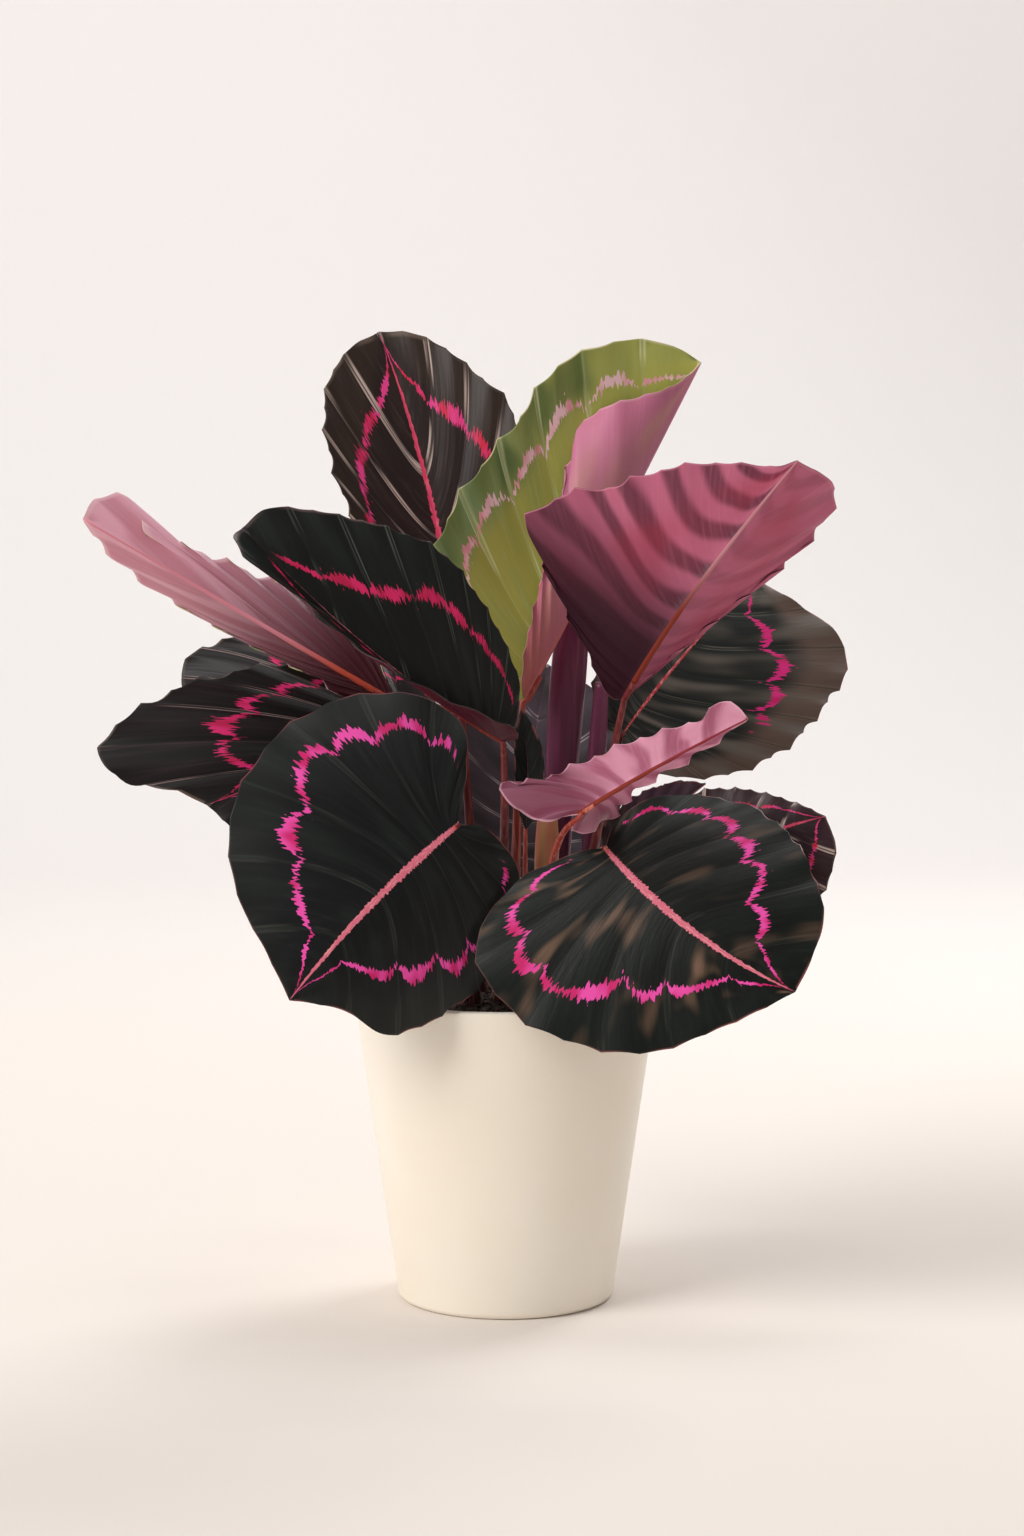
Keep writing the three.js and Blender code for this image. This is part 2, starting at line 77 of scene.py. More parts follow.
class Wire:
    """An output in a node tree. Arithmetic on wires adds the nodes that work it out."""

    def __init__(self, tree, socket=None):
        self.tree = tree
        self.socket = socket

    def node(self, kind, settings=None, sockets=None, output=0):
        """Adds any other node: its settings, then the values or wires of its sockets."""
        made = self.tree.nodes.new(kind)
        for name, value in (settings or {}).items():
            setattr(made, name, value)
        for name, value in (sockets or {}).items():
            plug(value, made.inputs[name])
        return Wire(self.tree, made.outputs[output]) if made.outputs else None

    def split(self):
        """The three parts of a vector."""
        first = self.node("ShaderNodeSeparateXYZ", None, {"Vector": self})
        return [Wire(self.tree, part) for part in first.socket.node.outputs]

    def maths(self, operation, *others):
        sockets = dict(enumerate((self, *others)))
        return self.node("ShaderNodeMath", {"operation": operation}, sockets)

    def __add__(self, other):
        return self.maths("ADD", other)

    __radd__ = __add__

    def __sub__(self, other):
        return self.maths("SUBTRACT", other)

    def __rsub__(self, other):
        return self.maths("MULTIPLY_ADD", -1.0, other)

    def __mul__(self, other):
        return self.maths("MULTIPLY", other)

    __rmul__ = __mul__

    def __truediv__(self, other):
        return self.maths("DIVIDE", other)

    def __pow__(self, other):
        return self.maths("POWER", other)

    def __abs__(self):
        return self.maths("ABSOLUTE")

    def rise(self, low, high):
        """0 below low, 1 above high and smooth between them."""
        sockets = {"Value": self, "From Min": low, "From Max": high}
        settings = {"interpolation_type": "SMOOTHSTEP"}
        return self.node("ShaderNodeMapRange", settings, sockets)

    def blend(self, first, second):
        """The first colour where this is 0 and the second where it is 1."""
        sockets = {0: self, 6: first, 7: second}
        return self.node("ShaderNodeMix", {"data_type": "RGBA"}, sockets, 2)


def point(x, y, z):
    """A place for a noise, from three values of which one at least is a wire."""
    wire = next(value for value in (x, y, z) if isinstance(value, Wire))
    return wire.node("ShaderNodeCombineXYZ", None, {"X": x, "Y": y, "Z": z})


def grain(place, scale=1.0, detail=0.0):
    """Noise from 0 to 1 at a place."""
    sockets = {"Vector": place, "Scale": scale, "Detail": detail}
    return place.node("ShaderNodeTexNoise", None, sockets)


def finish(name, build, coat=0.0, specular=0.5):
    """A material from build(sheet), which gives its colour, roughness and relief.

    Relief is a pair of a height wire and its depth in metres, or None."""
    material = bpy.data.materials.new(name)
    material.use_nodes = True
    shader = material.node_tree.nodes["Principled BSDF"]
    colour, roughness, relief = build(Wire(material.node_tree))
    plug(colour, shader.inputs["Base Color"])
    plug(roughness, shader.inputs["Roughness"])
    if relief:
        height, depth = relief
        bump = height.node("ShaderNodeBump", None, {"Height": height, "Distance": depth})
        plug(bump, shader.inputs["Normal"])
    shader.inputs["Coat Weight"].default_value = coat
    shader.inputs["Coat Roughness"].default_value = COAT_ROUGHNESS
    shader.inputs["Specular IOR Level"].default_value = specular
    return material


def placed(name, data):
    """A new object in the scene, at the origin."""
    made = bpy.data.objects.new(name, data)
    bpy.context.scene.collection.objects.link(made)
    return made


def mesh_object(name, vertices, faces):
    mesh = bpy.data.meshes.new(name)
    mesh.from_pydata([tuple(vertex) for vertex in vertices], [], faces)
    mesh.validate()
    return placed(name, mesh)


def geometry_tree(name, inputs):
    """A Geometry Nodes tree with named inputs, and the wires that leave its entry."""
    tree = bpy.data.node_groups.new(name, "GeometryNodeTree")
    for label, kind in {"Geometry": "Geometry", **inputs}.items():
        tree.interface.new_socket(name=label, in_out="INPUT", socket_type="NodeSocket" + kind)
    tree.interface.new_socket(name="Geometry", in_out="OUTPUT", socket_type="NodeSocketGeometry")
    entry = tree.nodes.new("NodeGroupInput")
    wires = {label: Wire(tree, entry.outputs[label]) for label in ["Geometry", *inputs]}
    return tree, wires


def close_tree(geometry, material):
    """Ends a tree in real geometry of one material."""
    real = geometry.node("GeometryNodeRealizeInstances", None, {"Geometry": geometry})
    done = real.node("GeometryNodeSetMaterial", None, {"Geometry": real, "Material": material})
    done.node("NodeGroupOutput", None, {"Geometry": done})


def grow(source, tree, values, name):
    """Runs a tree on a source object and keeps the result as one plain mesh object."""
    modifier = source.modifiers.new("rule", "NODES")
    modifier.node_group = tree
    for item in tree.interface.items_tree:
        if item.in_out == "INPUT" and item.name in values:
            modifier[item.identifier] = values[item.name]
    source.update_tag()
    evaluated = source.evaluated_get(bpy.context.evaluated_depsgraph_get())
    mesh = bpy.data.meshes.new_from_object(evaluated)
    source.modifiers.remove(modifier)
    mesh.name = name
    mesh.shade_smooth()
    bpy.data.objects.remove(source)
    return placed(name, mesh)


def turned_tree():
    """A lathe: the profile's corners, each carried round the upright axis."""
    tree, wires = geometry_tree("turned on a wheel", {"Sides": "Int", "Finish": "Material"})
    profile = wires["Geometry"]
    corners = profile.node("GeometryNodeAttributeDomainSize", None, {"Geometry": profile})
    around = wires["Sides"] + 1
    sheet = profile.node(
        "GeometryNodeMeshGrid", None, {"Vertices X": corners, "Vertices Y": around}
    )
    index = profile.node("GeometryNodeInputIndex")
    corner = (index / around).maths("FLOOR")
    angle = (index - corner * around) * (2 * math.pi) / wires["Sides"]
    position = profile.node("GeometryNodeInputPosition")
    sampled = profile.node(
        "GeometryNodeSampleIndex",
        {"data_type": "FLOAT_VECTOR"},
        {"Geometry": profile, "Value": position, "Index": corner},
    )
    radius, _, height = sampled.split()
    place = point(radius * angle.maths("COSINE"), radius * angle.maths("SINE"), height)
    sheet = sheet.node("GeometryNodeSetPosition", None, {"Geometry": sheet, "Position": place})
    sheet = sheet.node(
        "GeometryNodeMergeByDistance", None, {"Geometry": sheet, "Distance": WELD_DISTANCE}
    )
    close_tree(sheet, wires["Finish"])
    return tree


def outer_radius(height):
    """The pot's outer radius at a height above its base."""
    return POT_BASE_RADIUS + (POT_RIM_RADIUS - POT_BASE_RADIUS) * height / POT_HEIGHT


def arc(centre, radius, start, end, steps):
    """Points of an arc in the profile's plane, angles in degrees from outwards."""
    turns = np.radians(np.linspace(start, end, steps))
    return [(centre[0] + radius * math.cos(a), centre[1] + radius * math.sin(a)) for a in turns]


def pot_profile():
    """The pot's section from the middle of its base, up its outside and down its inside."""
    foot = (outer_radius(FOOT_ROUND) - FOOT_ROUND, FOOT_ROUND)
    rim = POT_HEIGHT - RIM_ROUND
    outside = (outer_radius(rim) - RIM_ROUND, rim)
    inside = (outer_radius(rim) - POT_WALL + RIM_ROUND, rim)
    heights = np.linspace(FOOT_ROUND * 1.3, rim - RIM_ROUND, WALL_STEPS)
    wall = [(outer_radius(height), height) for height in heights]
    inner = [(outer_radius(height) - POT_WALL, height) for height in heights[::-1]]
    return [
        (0, 0),
        (foot[0] * 0.5, 0),
        *arc(foot, FOOT_ROUND, -90, -WALL_LEAN, FOOT_STEPS),
        *wall,
        *arc(outside, RIM_ROUND, WALL_LEAN, 90, RIM_STEPS),
        *arc(inside, RIM_ROUND, 90, 180 - WALL_LEAN, RIM_STEPS),
        *inner,
        (outer_radius(POT_FLOOR) - POT_WALL, POT_FLOOR),
        (0, POT_FLOOR),
    ]


def cream_glaze(sheet):
    place = sheet.node("ShaderNodeTexCoord", None, None, "Object")
    mottle = grain(place, 14, 2)
    skin = grain(place, 900, 1)
    colour = mottle.rise(0.3, 0.7).blend(shade(253, 243, 226), shade(255, 248, 234))
    roughness = 0.34 + 0.1 * mottle
    return colour, roughness, (skin + 3 * mottle, GLAZE_RELIEF)


def corner_chain(name, corners):
    """A row of corners joined by edges, from which a tree grows a piece."""
    mesh = bpy.data.meshes.new(name)
    edges = [(index, index + 1) for index in range(len(corners) - 1)]
    mesh.from_pydata([tuple(corner) for corner in corners], edges, [])
    return placed(name, mesh)


turned = turned_tree()
profile = corner_chain("pot_profile", [(x, 0, z) for x, z in pot_profile()])
glaze = finish("cream glaze", cream_glaze, coat=0.15)
pot = grow(profile, turned, {"Sides": POT_SIDES, "Finish": glaze}, "pot_shell")
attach(pot, "root")
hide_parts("pot")

# Peat
# Dark peat fills the pot to just under its rim. It is a loose mix of fibres and crumbs,
# heaped a little in the middle, and the stalks stand straight in it.
PEAT_TOP = 136 * MM
PEAT_MOUND = 3 * MM
PEAT_GAP = 0.3 * MM
PEAT_SIDES = 150
PEAT_RINGS = 46
PEAT_RELIEF = 0.9 * MM
LUMP_HEIGHT = 1.6 * MM
LUMP_SCALE = 160
FINE_LUMP_SCALE = 420
CRUMB_COUNT = 1500
CRUMB_SIZE = 1.5 * MM
CRUMB_DEPTH = 2 * MM
CRUMB_DENT_SCALE = 620
CRUMB_TURN = (6.3, 6.3, 6.3)
SMALLEST_CRUMB = (0.3, 0.3, 0.2)
LARGEST_CRUMB = (1.3, 1.1, 0.8)
CRUMB_SEED = 5


def peat_colour(sheet):
    place = sheet.node("ShaderNodeTexCoord", None, None, "Object")
    clod = grain(place, 260, 3)
    fibre = grain(place, 1100, 2)
    dark = clod.rise(0.35, 0.65).blend(shade(38, 30, 27), shade(74, 60, 52))
    colour = fibre.rise(0.62, 0.72).blend(dark, shade(140, 122, 104))
    return colour, 0.85 + 0.1 * clod, (clod + 0.5 * fibre, PEAT_RELIEF)


peat_look = finish("dark peat", peat_colour, specular=0.3)
peat_radius = outer_radius(PEAT_TOP) - POT_WALL - PEAT_GAP
peat_floor = POT_FLOOR + PEAT_GAP
shares = np.linspace(1, 0, PEAT_RINGS)
peat_profile = [
    (0, 0, peat_floor),
    (outer_radius(peat_floor) - POT_WALL - PEAT_GAP, 0, peat_floor),
    *((peat_radius * share, 0, PEAT_TOP + PEAT_MOUND * (1 - share**2)) for share in shares),
]
peat = grow(
    corner_chain("peat_profile", peat_profile),
    turned,
    {"Sides": PEAT_SIDES, "Finish": peat_look},
    "peat_bed",
)
for vertex in peat.data.vertices:
    reach = math.hypot(vertex.co.x, vertex.co.y) / peat_radius
    if vertex.co.z > PEAT_TOP - PEAT_GAP:
        lump = noise.noise(vertex.co * LUMP_SCALE)
        lump += 0.6 * noise.noise(vertex.co * FINE_LUMP_SCALE)
        vertex.co.z += LUMP_HEIGHT * lump * min(1, 4 * (1 - reach) + 0.2)


def crumb_tree():
    """Crumbs of peat, strewn over the bed and turned and sized at random."""
    inputs = {"Count": "Float", "Size": "Float", "Floor": "Float", "Finish": "Material"}
    tree, wires = geometry_tree("strewn crumbs", inputs)
    bed = wires["Geometry"]
    height = bed.node("GeometryNodeInputPosition").split()[2]
    top = height.maths("GREATER_THAN", wires["Floor"])
    spots = bed.node(
        "GeometryNodeDistributePointsOnFaces",
        None,
        {"Mesh": bed, "Selection": top, "Density": wires["Count"], "Seed": CRUMB_SEED},
    )
    ball = bed.node(
        "GeometryNodeMeshIcoSphere", None, {"Radius": wires["Size"], "Subdivisions": 1}
    )
    place = bed.node("GeometryNodeInputPosition")
    dent = grain(place, CRUMB_DENT_SCALE, 1)
    squeezed = place.node(
        "ShaderNodeVectorMath", {"operation": "SCALE"}, {0: place, "Scale": 1.7 * dent - 0.55}
    )
    crumb = ball.node("GeometryNodeSetPosition", None, {"Geometry": ball, "Offset": squeezed})
    vector = {"data_type": "FLOAT_VECTOR"}
    turns = {0: (0, 0, 0), 1: CRUMB_TURN, "Seed": CRUMB_SEED + 2}
    sizes = {0: SMALLEST_CRUMB, 1: LARGEST_CRUMB, "Seed": CRUMB_SEED + 4}
    turn = bed.node("FunctionNodeRandomValue", vector, turns)
    size = bed.node("FunctionNodeRandomValue", vector, sizes)
    strewn = spots.node(
        "GeometryNodeInstanceOnPoints",
        None,
        {"Points": spots, "Instance": crumb, "Rotation": turn, "Scale": size},
    )
    close_tree(strewn, wires["Finish"])
    return tree


peat_area = math.pi * peat_radius**2
crumbs = grow(
    placed("crumb_source", peat.data.copy()),
    crumb_tree(),
    {
        "Count": CRUMB_COUNT / peat_area,
        "Size": CRUMB_SIZE,
        "Floor": PEAT_TOP - CRUMB_DEPTH,
        "Finish": peat_look,
    },
    "peat_crumbs",
)
for piece in (peat, crumbs):
    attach(piece, "root")
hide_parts("soil")

# Leaf blades
# Thin oval blades, each with a midrib and side veins that bow towards the tip. The blade
# is pleated between its veins and finely crimped at its margin, and the midrib stands
# proud of the lower face.
BLADE_THICKNESS = 0.55 * MM
MIDRIB_HEIGHT = 1.2 * MM
MIDRIB_WIDTH = 2.4 * MM
MIDRIB_TAPER = 0.8
VEIN_START = 0.15
WAVE_FADE = 0.25
PLEAT_RISE = 0.7
PLEAT_MIDDLE = 0.6
FLATTEST_BEND = 0.001
CRIMP_START = 6
CRIMP_LIFT = 0.8
CRIMP_SHARE = 0.15
MIDRIB_SAMPLES = 201
OUTLINE_SAMPLES = 400
CORNER_SAMPLES = 40
VEIN_STEPS = 12
ACROSS = (
    0, 0.012, 0.026, 0.045, 0.07, 0.1, 0.14, 0.19, 0.25, 0.31, 0.37, 0.43, 0.49, 0.55,
    0.61, 0.67, 0.73, 0.79, 0.85, 0.9, 0.945, 0.975, 0.992, 1,
)


# A midrib is given by its stalk end, middle and tip in millimetres from the middle of the
# pot's base, and facing is the way the blade looks at its two ends. A half's outline runs
# from stalk to tip, as millimetres along the midrib and out from it. Folds are the angles
# at the midrib and curls the bends from there to the edge, in degrees, of the left half
# and of the right one: one value each, or one at the stalk and one at the tip. A stalk has
# its colour and the radii of its foot and top, and it runs past its bends to the blade.
LEAVES = [
    dict(
        name="front_left", veins=8, sweep=3.2, bow=1.5, pleat=0.7, scallop=-0.015, crimp=1.0,
        midrib=[(-21, -60, 225), (-58, -84, 193), (-93, -96, 153)],
        facing=[(-0.1, -1, 0.2), (-0.1, -1, 0.1)],
        left=[(-11, 11), (-12, 33), (1, 56), (30, 66), (70, 59), (94, 45), (98, 22)],
        right=[(-27, 21), (-39, 40), (-29, 65), (-3, 82), (30, 86), (65, 74), (88, 48), (99, 22)],
        folds=(-8, 0), curls=((-42, -36), (-15, -10)),
        foot=(-12, -22), bends=[(-22, -26, 220)], stalk=("plum", 3, 1.9),
    ),
    dict(
        name="front_right", veins=8, sweep=3, bow=1.5, pleat=0.7, scallop=-0.015, crimp=1.0,
        midrib=[(44, -60, 215), (81, -86, 182), (125, -98, 157)],
        facing=[(0.1, -1, 0.2), (0.1, -1, 0.1)],
        left=[(-8, 12), (-11, 29), (-2, 54), (24, 70), (71, 64), (104, 41), (109, 18)],
        right=[(-8, 16), (-12, 42), (-4, 66), (10, 78), (32, 78), (53, 68), (71, 54), (88, 29)],
        folds=(-8, 0), curls=(-25, (-2, -8)),
        foot=(22, -24), bends=[(36, -30, 204)], stalk=("orange", 3, 1.9),
    ),
    dict(
        name="mid_left", veins=9, sweep=5, bow=1.2, pleat=1, scallop=-0.03, crimp=0.8,
        midrib=[(-1, -58, 262), (-55, -82, 301), (-113, -80, 356)],
        facing=[(0, -1, 0.1), (0, -1, 0.2)],
        left=[(2, 14), (18, 24), (50, 22), (83, 16), (121, 9), (138, 14), (150, 9)],
        right=[(-1, 10), (3, 21), (12, 31), (39, 45), (77, 54), (110, 44), (139, 26), (151, 13)],
        folds=((108, 42), 0), curls=((10, 20), (-10, -20)),
        foot=(-3, -12), bends=[(1, -22, 236)], stalk=("plum", 3.2, 2),
    ),
    dict(
        name="back_left", veins=8, sweep=7, bow=1.5, pleat=1, scallop=-0.03, crimp=1,
        midrib=[(-25, 30, 321), (-41, 50, 390), (-60, 68, 446)],
        facing=[(0.05, -0.95, 0.3), (0.05, -0.9, 0.4)],
        left=[(0, 11), (17, 30), (51, 43), (85, 45), (113, 36), (130, 18)],
        right=[(-1, 13), (23, 34), (55, 47), (81, 48), (99, 38), (119, 25), (130, 13)],
        folds=(12, 8), curls=(15, 10),
        foot=(-10, 14), bends=[(-18, 26, 240)], stalk=("plum", 3, 1.9),
    ),
    dict(
        name="young", veins=9, sweep=3, bow=1.2, pleat=1.2, scallop=-0.03, crimp=1.2,
        midrib=[(8, -10, 276), (45, 0, 345), (89, 12, 430)],
        facing=[(-0.9, -0.35, 0.2), (-0.85, -0.5, 0.1)],
        left=[
            (0, 12), (10, 41), (37, 67), (70, 71), (110, 64), (139, 60), (155, 50),
            (170, 33), (176, 14),
        ],
        right=[(16, 12), (61, 25), (98, 35), (125, 42), (144, 25), (161, 8)],
        folds=(60, 60), curls=(25, 110),
        foot=(4, 2), bends=[(4, -2, 220)], stalk=("orange", 3.2, 2.2),
    ),
    dict(
        name="right_top", veins=9, sweep=3, bow=1.45, pleat=1.6, scallop=-0.05, crimp=1.3,
        midrib=[(53, -40, 279), (81, -62, 326), (126, -76, 385)], facing=[(0.18, 0.95, 0.24)] * 2,
        left=[(14, 4), (39, 14), (67, 24), (100, 36), (124, 37), (136, 25)],
        right=[
            (-2, 8), (11, 24), (34, 60), (43, 77), (60, 74), (77, 57), (99, 41), (116, 22),
            (126, 7),
        ],
        folds=(30, 0), curls=(20, (0, 20)),
        foot=(26, -6), bends=[(42, -16, 225)], stalk=("plum", 3.2, 2.1),
    ),
    dict(
        name="right", veins=9, sweep=3, bow=1.4, pleat=0.9, scallop=-0.03, crimp=1.4,
        midrib=[(54, 8, 260), (86, 34, 298), (120, 70, 329)], facing=[(0.1, -0.8, 0.55)] * 2,
        left=[(-3, 11), (15, 27), (50, 35), (85, 30), (105, 15)],
        right=[(-11, 8), (-3, 31), (18, 53), (53, 66), (93, 66), (121, 60), (126, 40), (119, 18)],
        folds=(0, -5), curls=(10, (-20, -25)),
        foot=(40, 12), bends=[(47, 34, 228)], stalk=("plum", 3, 1.9),
    ),
    dict(
        name="low_centre", veins=8, sweep=2.4, bow=1.5, pleat=2, scallop=-0.08, crimp=1.6,
        midrib=[(34, -76, 233), (66, -90, 254), (104, -96, 275)], facing=[(-0.1, 0.95, 0.3)] * 2,
        left=[(-16, 10), (-16, 22), (-6, 29), (10, 19), (28, 11), (48, 11), (68, 7)],
        right=[
            (-16, 5), (-25, 14), (-27, 32), (-14, 25), (8, 20), (31, 17), (52, 13), (67, 10),
            (77, 13), (83, 8),
        ],
        folds=(40, 10), curls=(10, 25),
        foot=(14, -30), bends=[(18, -30, 236), (28, -84, 222)], stalk=("orange", 2.6, 1.7),
    ),
    dict(
        name="left_high", veins=9, sweep=6, bow=1.1, pleat=1.6, scallop=-0.05, crimp=1.8,
        midrib=[(-48, -16, 275), (-114, -18, 314), (-190, -16, 359)],
        facing=[(0.1, 0.95, 0.3), (0.2, 0.95, 0.3)],
        left=[(22, 15), (56, 25), (91, 21), (122, 14), (138, 10), (152, 22), (165, 13)],
        right=[(12, 16), (49, 16), (88, 23), (122, 26), (151, 12)],
        folds=(30, 20), curls=(50, 40),
        foot=(-17, -13), bends=[(-26, -16, 240)], stalk=("plum", 2.8, 1.8),
    ),
    dict(
        name="left_low", veins=9, sweep=6, bow=1.15, pleat=2.2, scallop=-0.05, crimp=1.8,
        midrib=[(-37, 10, 259), (-84, -16, 248), (-134, -30, 231)],
        facing=[(-0.2, -0.95, 0.3), (-0.3, -0.95, 0.2)],
        left=[(-7, 16), (0, 37), (33, 53), (72, 46), (98, 24)],
        right=[(-13, 15), (-15, 32), (4, 46), (71, 57), (111, 58), (144, 47), (141, 27), (119, 11)],
        folds=(0, 0), curls=(-20, -10),
        foot=(-24, 6), bends=[(-18, 34, 244)], stalk=("plum", 2.8, 1.8),
    ),
    dict(
        name="left_back", veins=8, sweep=5, bow=1.15, pleat=2.2, scallop=-0.05, crimp=1.8,
        midrib=[(-50, 40, 266), (-98, 62, 272), (-147, 74, 269)], facing=[(-0.2, -0.9, 0.4)] * 2,
        left=[(1, 17), (36, 33), (78, 27)],
        right=[(15, 18), (50, 31), (86, 35), (110, 25), (111, 8)],
        folds=(0, 0), curls=(-20, -10),
        foot=(-26, 24), bends=[(-38, 58, 244)], stalk=("plum", 2.6, 1.7),
    ),
    dict(
        name="right_low_back", veins=7, sweep=2.6, bow=1.4, pleat=0.8, scallop=-0.03, crimp=1,
        midrib=[(83, -22, 203), (112, -34, 217), (143, -40, 227)],
        facing=[(0.2, -0.9, 0.4), (0.3, -0.9, 0.3)],
        left=[(-2, 15), (11, 30), (34, 24), (56, 10)],
        right=[(0, 17), (22, 36), (52, 37), (68, 18)],
        folds=(0, 0), curls=(-10, -20),
        foot=(38, -12), bends=[(66, -2, 190)], stalk=("plum", 2.4, 1.6),
    ),
    dict(
        name="right_low", veins=7, sweep=2.4, bow=1.4, pleat=0.8, scallop=-0.03, crimp=1,
        midrib=[(46, -7, 206), (69, -9, 222), (91, -10, 239)], facing=[(0, -0.1, 1)] * 2,
        left=[(6, 14), (26, 24), (46, 16)], right=[(6, 14), (26, 19), (46, 12)],
        folds=(15, (60, 55)), curls=(15, 15),
        foot=(38, -20), bends=[(44, -12, 186)], stalk=("plum", 2.2, 1.5),
    ),
    dict(
        name="back", veins=8, sweep=2.6, bow=1.4, pleat=1.4, scallop=-0.03, crimp=1,
        midrib=[(3, 46, 193), (11, 54, 239), (20, 62, 289)], facing=[(0, -1, 0.1)] * 2,
        left=[(-8, 18), (14, 40), (50, 46), (80, 34)],
        right=[(-8, 18), (14, 40), (50, 48), (84, 36)],
        folds=(5, 5), curls=(10, 10), foot=(4, 28), bends=[(4, 60, 176)], stalk=("plum", 2.6, 1.7),
    ),
    dict(
        name="inner", veins=6, sweep=2.2, bow=1.3, pleat=0.3, scallop=0, crimp=0,
        midrib=[(9, -36, 220), (10, -40, 248), (7, -36, 276)], facing=[(0, -1, 0.1)] * 2,
        left=[(16, 6), (40, 6)], right=[(14, 7), (36, 8)],
        folds=(20, 20), curls=(20, 20),
        foot=(7, -16), bends=[(9, -28, 190)], stalk=("orange", 2.2, 1.5),
    ),
]


def unit(vectors):
    return vectors / np.linalg.norm(vectors, axis=-1, keepdims=True)


def distances(places):
    """How far along a chain each of its places lies."""
    steps = np.linalg.norm(np.diff(places, axis=0), axis=1)
    return np.concatenate([[0], np.cumsum(steps)])


class Midrib:
    """A quadratic curve through three points, measured along its length."""

    def __init__(self, start, middle, end):
        self.start = np.array(start) * MM
        self.end = np.array(end) * MM
        self.control = 2 * np.array(middle) * MM - (self.start + self.end) / 2
        self.turns = np.linspace(0, 1, MIDRIB_SAMPLES)
        self.distances = distances(self.places(self.turns))
        self.length = self.distances[-1]

    def places(self, turn):
        turn = turn[..., None]
        low = self.start * (1 - turn) ** 2
        return low + self.control * 2 * turn * (1 - turn) + self.end * turn**2

    def at(self, distance):
        """Places and ways to the tip; past either end the midrib runs on straight."""
        held = np.clip(distance, 0, self.length)
        turn = np.interp(held, self.distances, self.turns)
        low = (self.control - self.start) * (1 - turn[..., None])
        along = unit(low + (self.end - self.control) * turn[..., None])
        return self.places(turn) + along * (distance - held)[..., None], along


def smooth_outline(corners, length):
    """Even steps along the curve through a half's corners, from stalk to tip."""
    corners = np.vstack([[0, 0], corners, [length, 0]])
    ends = [2 * corners[0] - corners[1], 2 * corners[-1] - corners[-2]]
    padded = np.vstack([ends[0], corners, ends[1]])
    share = np.linspace(0, 1, CORNER_SAMPLES)[:, None]
    pieces = []
    for before, start, end, after in zip(padded, padded[1:], padded[2:], padded[3:]):
        bow = 2 * before - 5 * start + 4 * end - after
        twist = 3 * start - before - 3 * end + after
        curve = 2 * start + (end - before) * share + bow * share**2 + twist * share**3
        pieces.append(0.5 * curve)
    curve = np.vstack(pieces)
    far = distances(curve)
    even = np.linspace(0, far[-1], OUTLINE_SAMPLES)
    return np.stack([np.interp(even, far, curve[:, axis]) for axis in (0, 1)], -1)


def blade_points(leaf, side, u, v):
    """The middle surface of one half: places, normals, how far out each point's vein
    reaches and its share of the way to the tip.

    u goes from the stalk to the tip at the edge, and v from the midrib to the edge."""
    half = int(side > 0)
    outline = np.array(leaf[("left", "right")[half]]) * MM
    fold_base, fold_tip = np.radians(leaf["folds"][half]) * np.ones(2)
    curl_base, curl_tip = np.radians(leaf["curls"][half]) * np.ones(2)
    midrib = leaf["rib"]
    edge = smooth_outline(outline, midrib.length)
    steps = np.linspace(0, 1, len(edge))
    fade = np.maximum(np.sin(math.pi * u), 0) ** WAVE_FADE
    wave = np.abs(np.sin(math.pi * leaf["veins"] * u)) - PLEAT_MIDDLE
    reach = np.maximum(np.interp(u, steps, edge[:, 1]), 0)
    reach = reach * (1 + leaf["scallop"] * wave * fade)
    foot = midrib.length * (VEIN_START * u + (1 - VEIN_START) * u ** leaf["sweep"])
    distance = foot + (np.interp(u, steps, edge[:, 0]) - foot) * v ** leaf["bow"]
    crimp = np.minimum(leaf["crimp"] * MM * fade, CRIMP_SHARE * reach) * v**CRIMP_START
    ripple = np.sin(2 * math.pi * leaf["veins"] * u)
    out = reach * v - crimp * np.abs(ripple)
    place, along = midrib.at(distance)
    share = np.clip(distance / midrib.length, 0, 1)[..., None]
    up = np.array(leaf["facing"][0]) * (1 - share) + np.array(leaf["facing"][1]) * share
    up = unit(up - (up * along).sum(-1, keepdims=True) * along)
    right = np.cross(along, up)
    share = share[..., 0]
    fold = fold_base * (1 - share) + fold_tip * share
    curl = curl_base * (1 - share) + curl_tip * share
    bend = curl / outline[:, 1].max()
    bend = np.where(np.abs(bend) < FLATTEST_BEND, FLATTEST_BEND, bend)
    angle = fold + bend * out
    sideways = (np.sin(angle) - np.sin(fold)) / bend
    raised = (np.cos(fold) - np.cos(angle)) / bend
    normal = np.cos(angle)[..., None] * up - (side * np.sin(angle))[..., None] * right
    place = place + (side * sideways)[..., None] * right + raised[..., None] * up
    relief = leaf["pleat"] * MM * wave * v**PLEAT_RISE * fade + CRIMP_LIFT * crimp * ripple
    return place + relief[..., None] * normal, normal, reach, share


def joined(left, right):
    """The grids of the two halves side by side, with the midrib's column once."""
    return np.concatenate([left[:, :0:-1], right], 1)


def store(piece, name, kind, values):
    """Keeps a value or a vector for each vertex, for the piece's material."""
    attribute = piece.data.attributes.new(name, kind, "POINT")
    field = "vector" if kind == "FLOAT_VECTOR" else "value"
    attribute.data.foreach_set(field, np.array(values, np.float32).ravel())


def cell(grid, row, column):
    """The four corners of one cell of a grid, in order round it."""
    rows, columns = (row, row, row + 1, row + 1), (column, column + 1, column + 1, column)
    return grid[rows, columns].tolist()


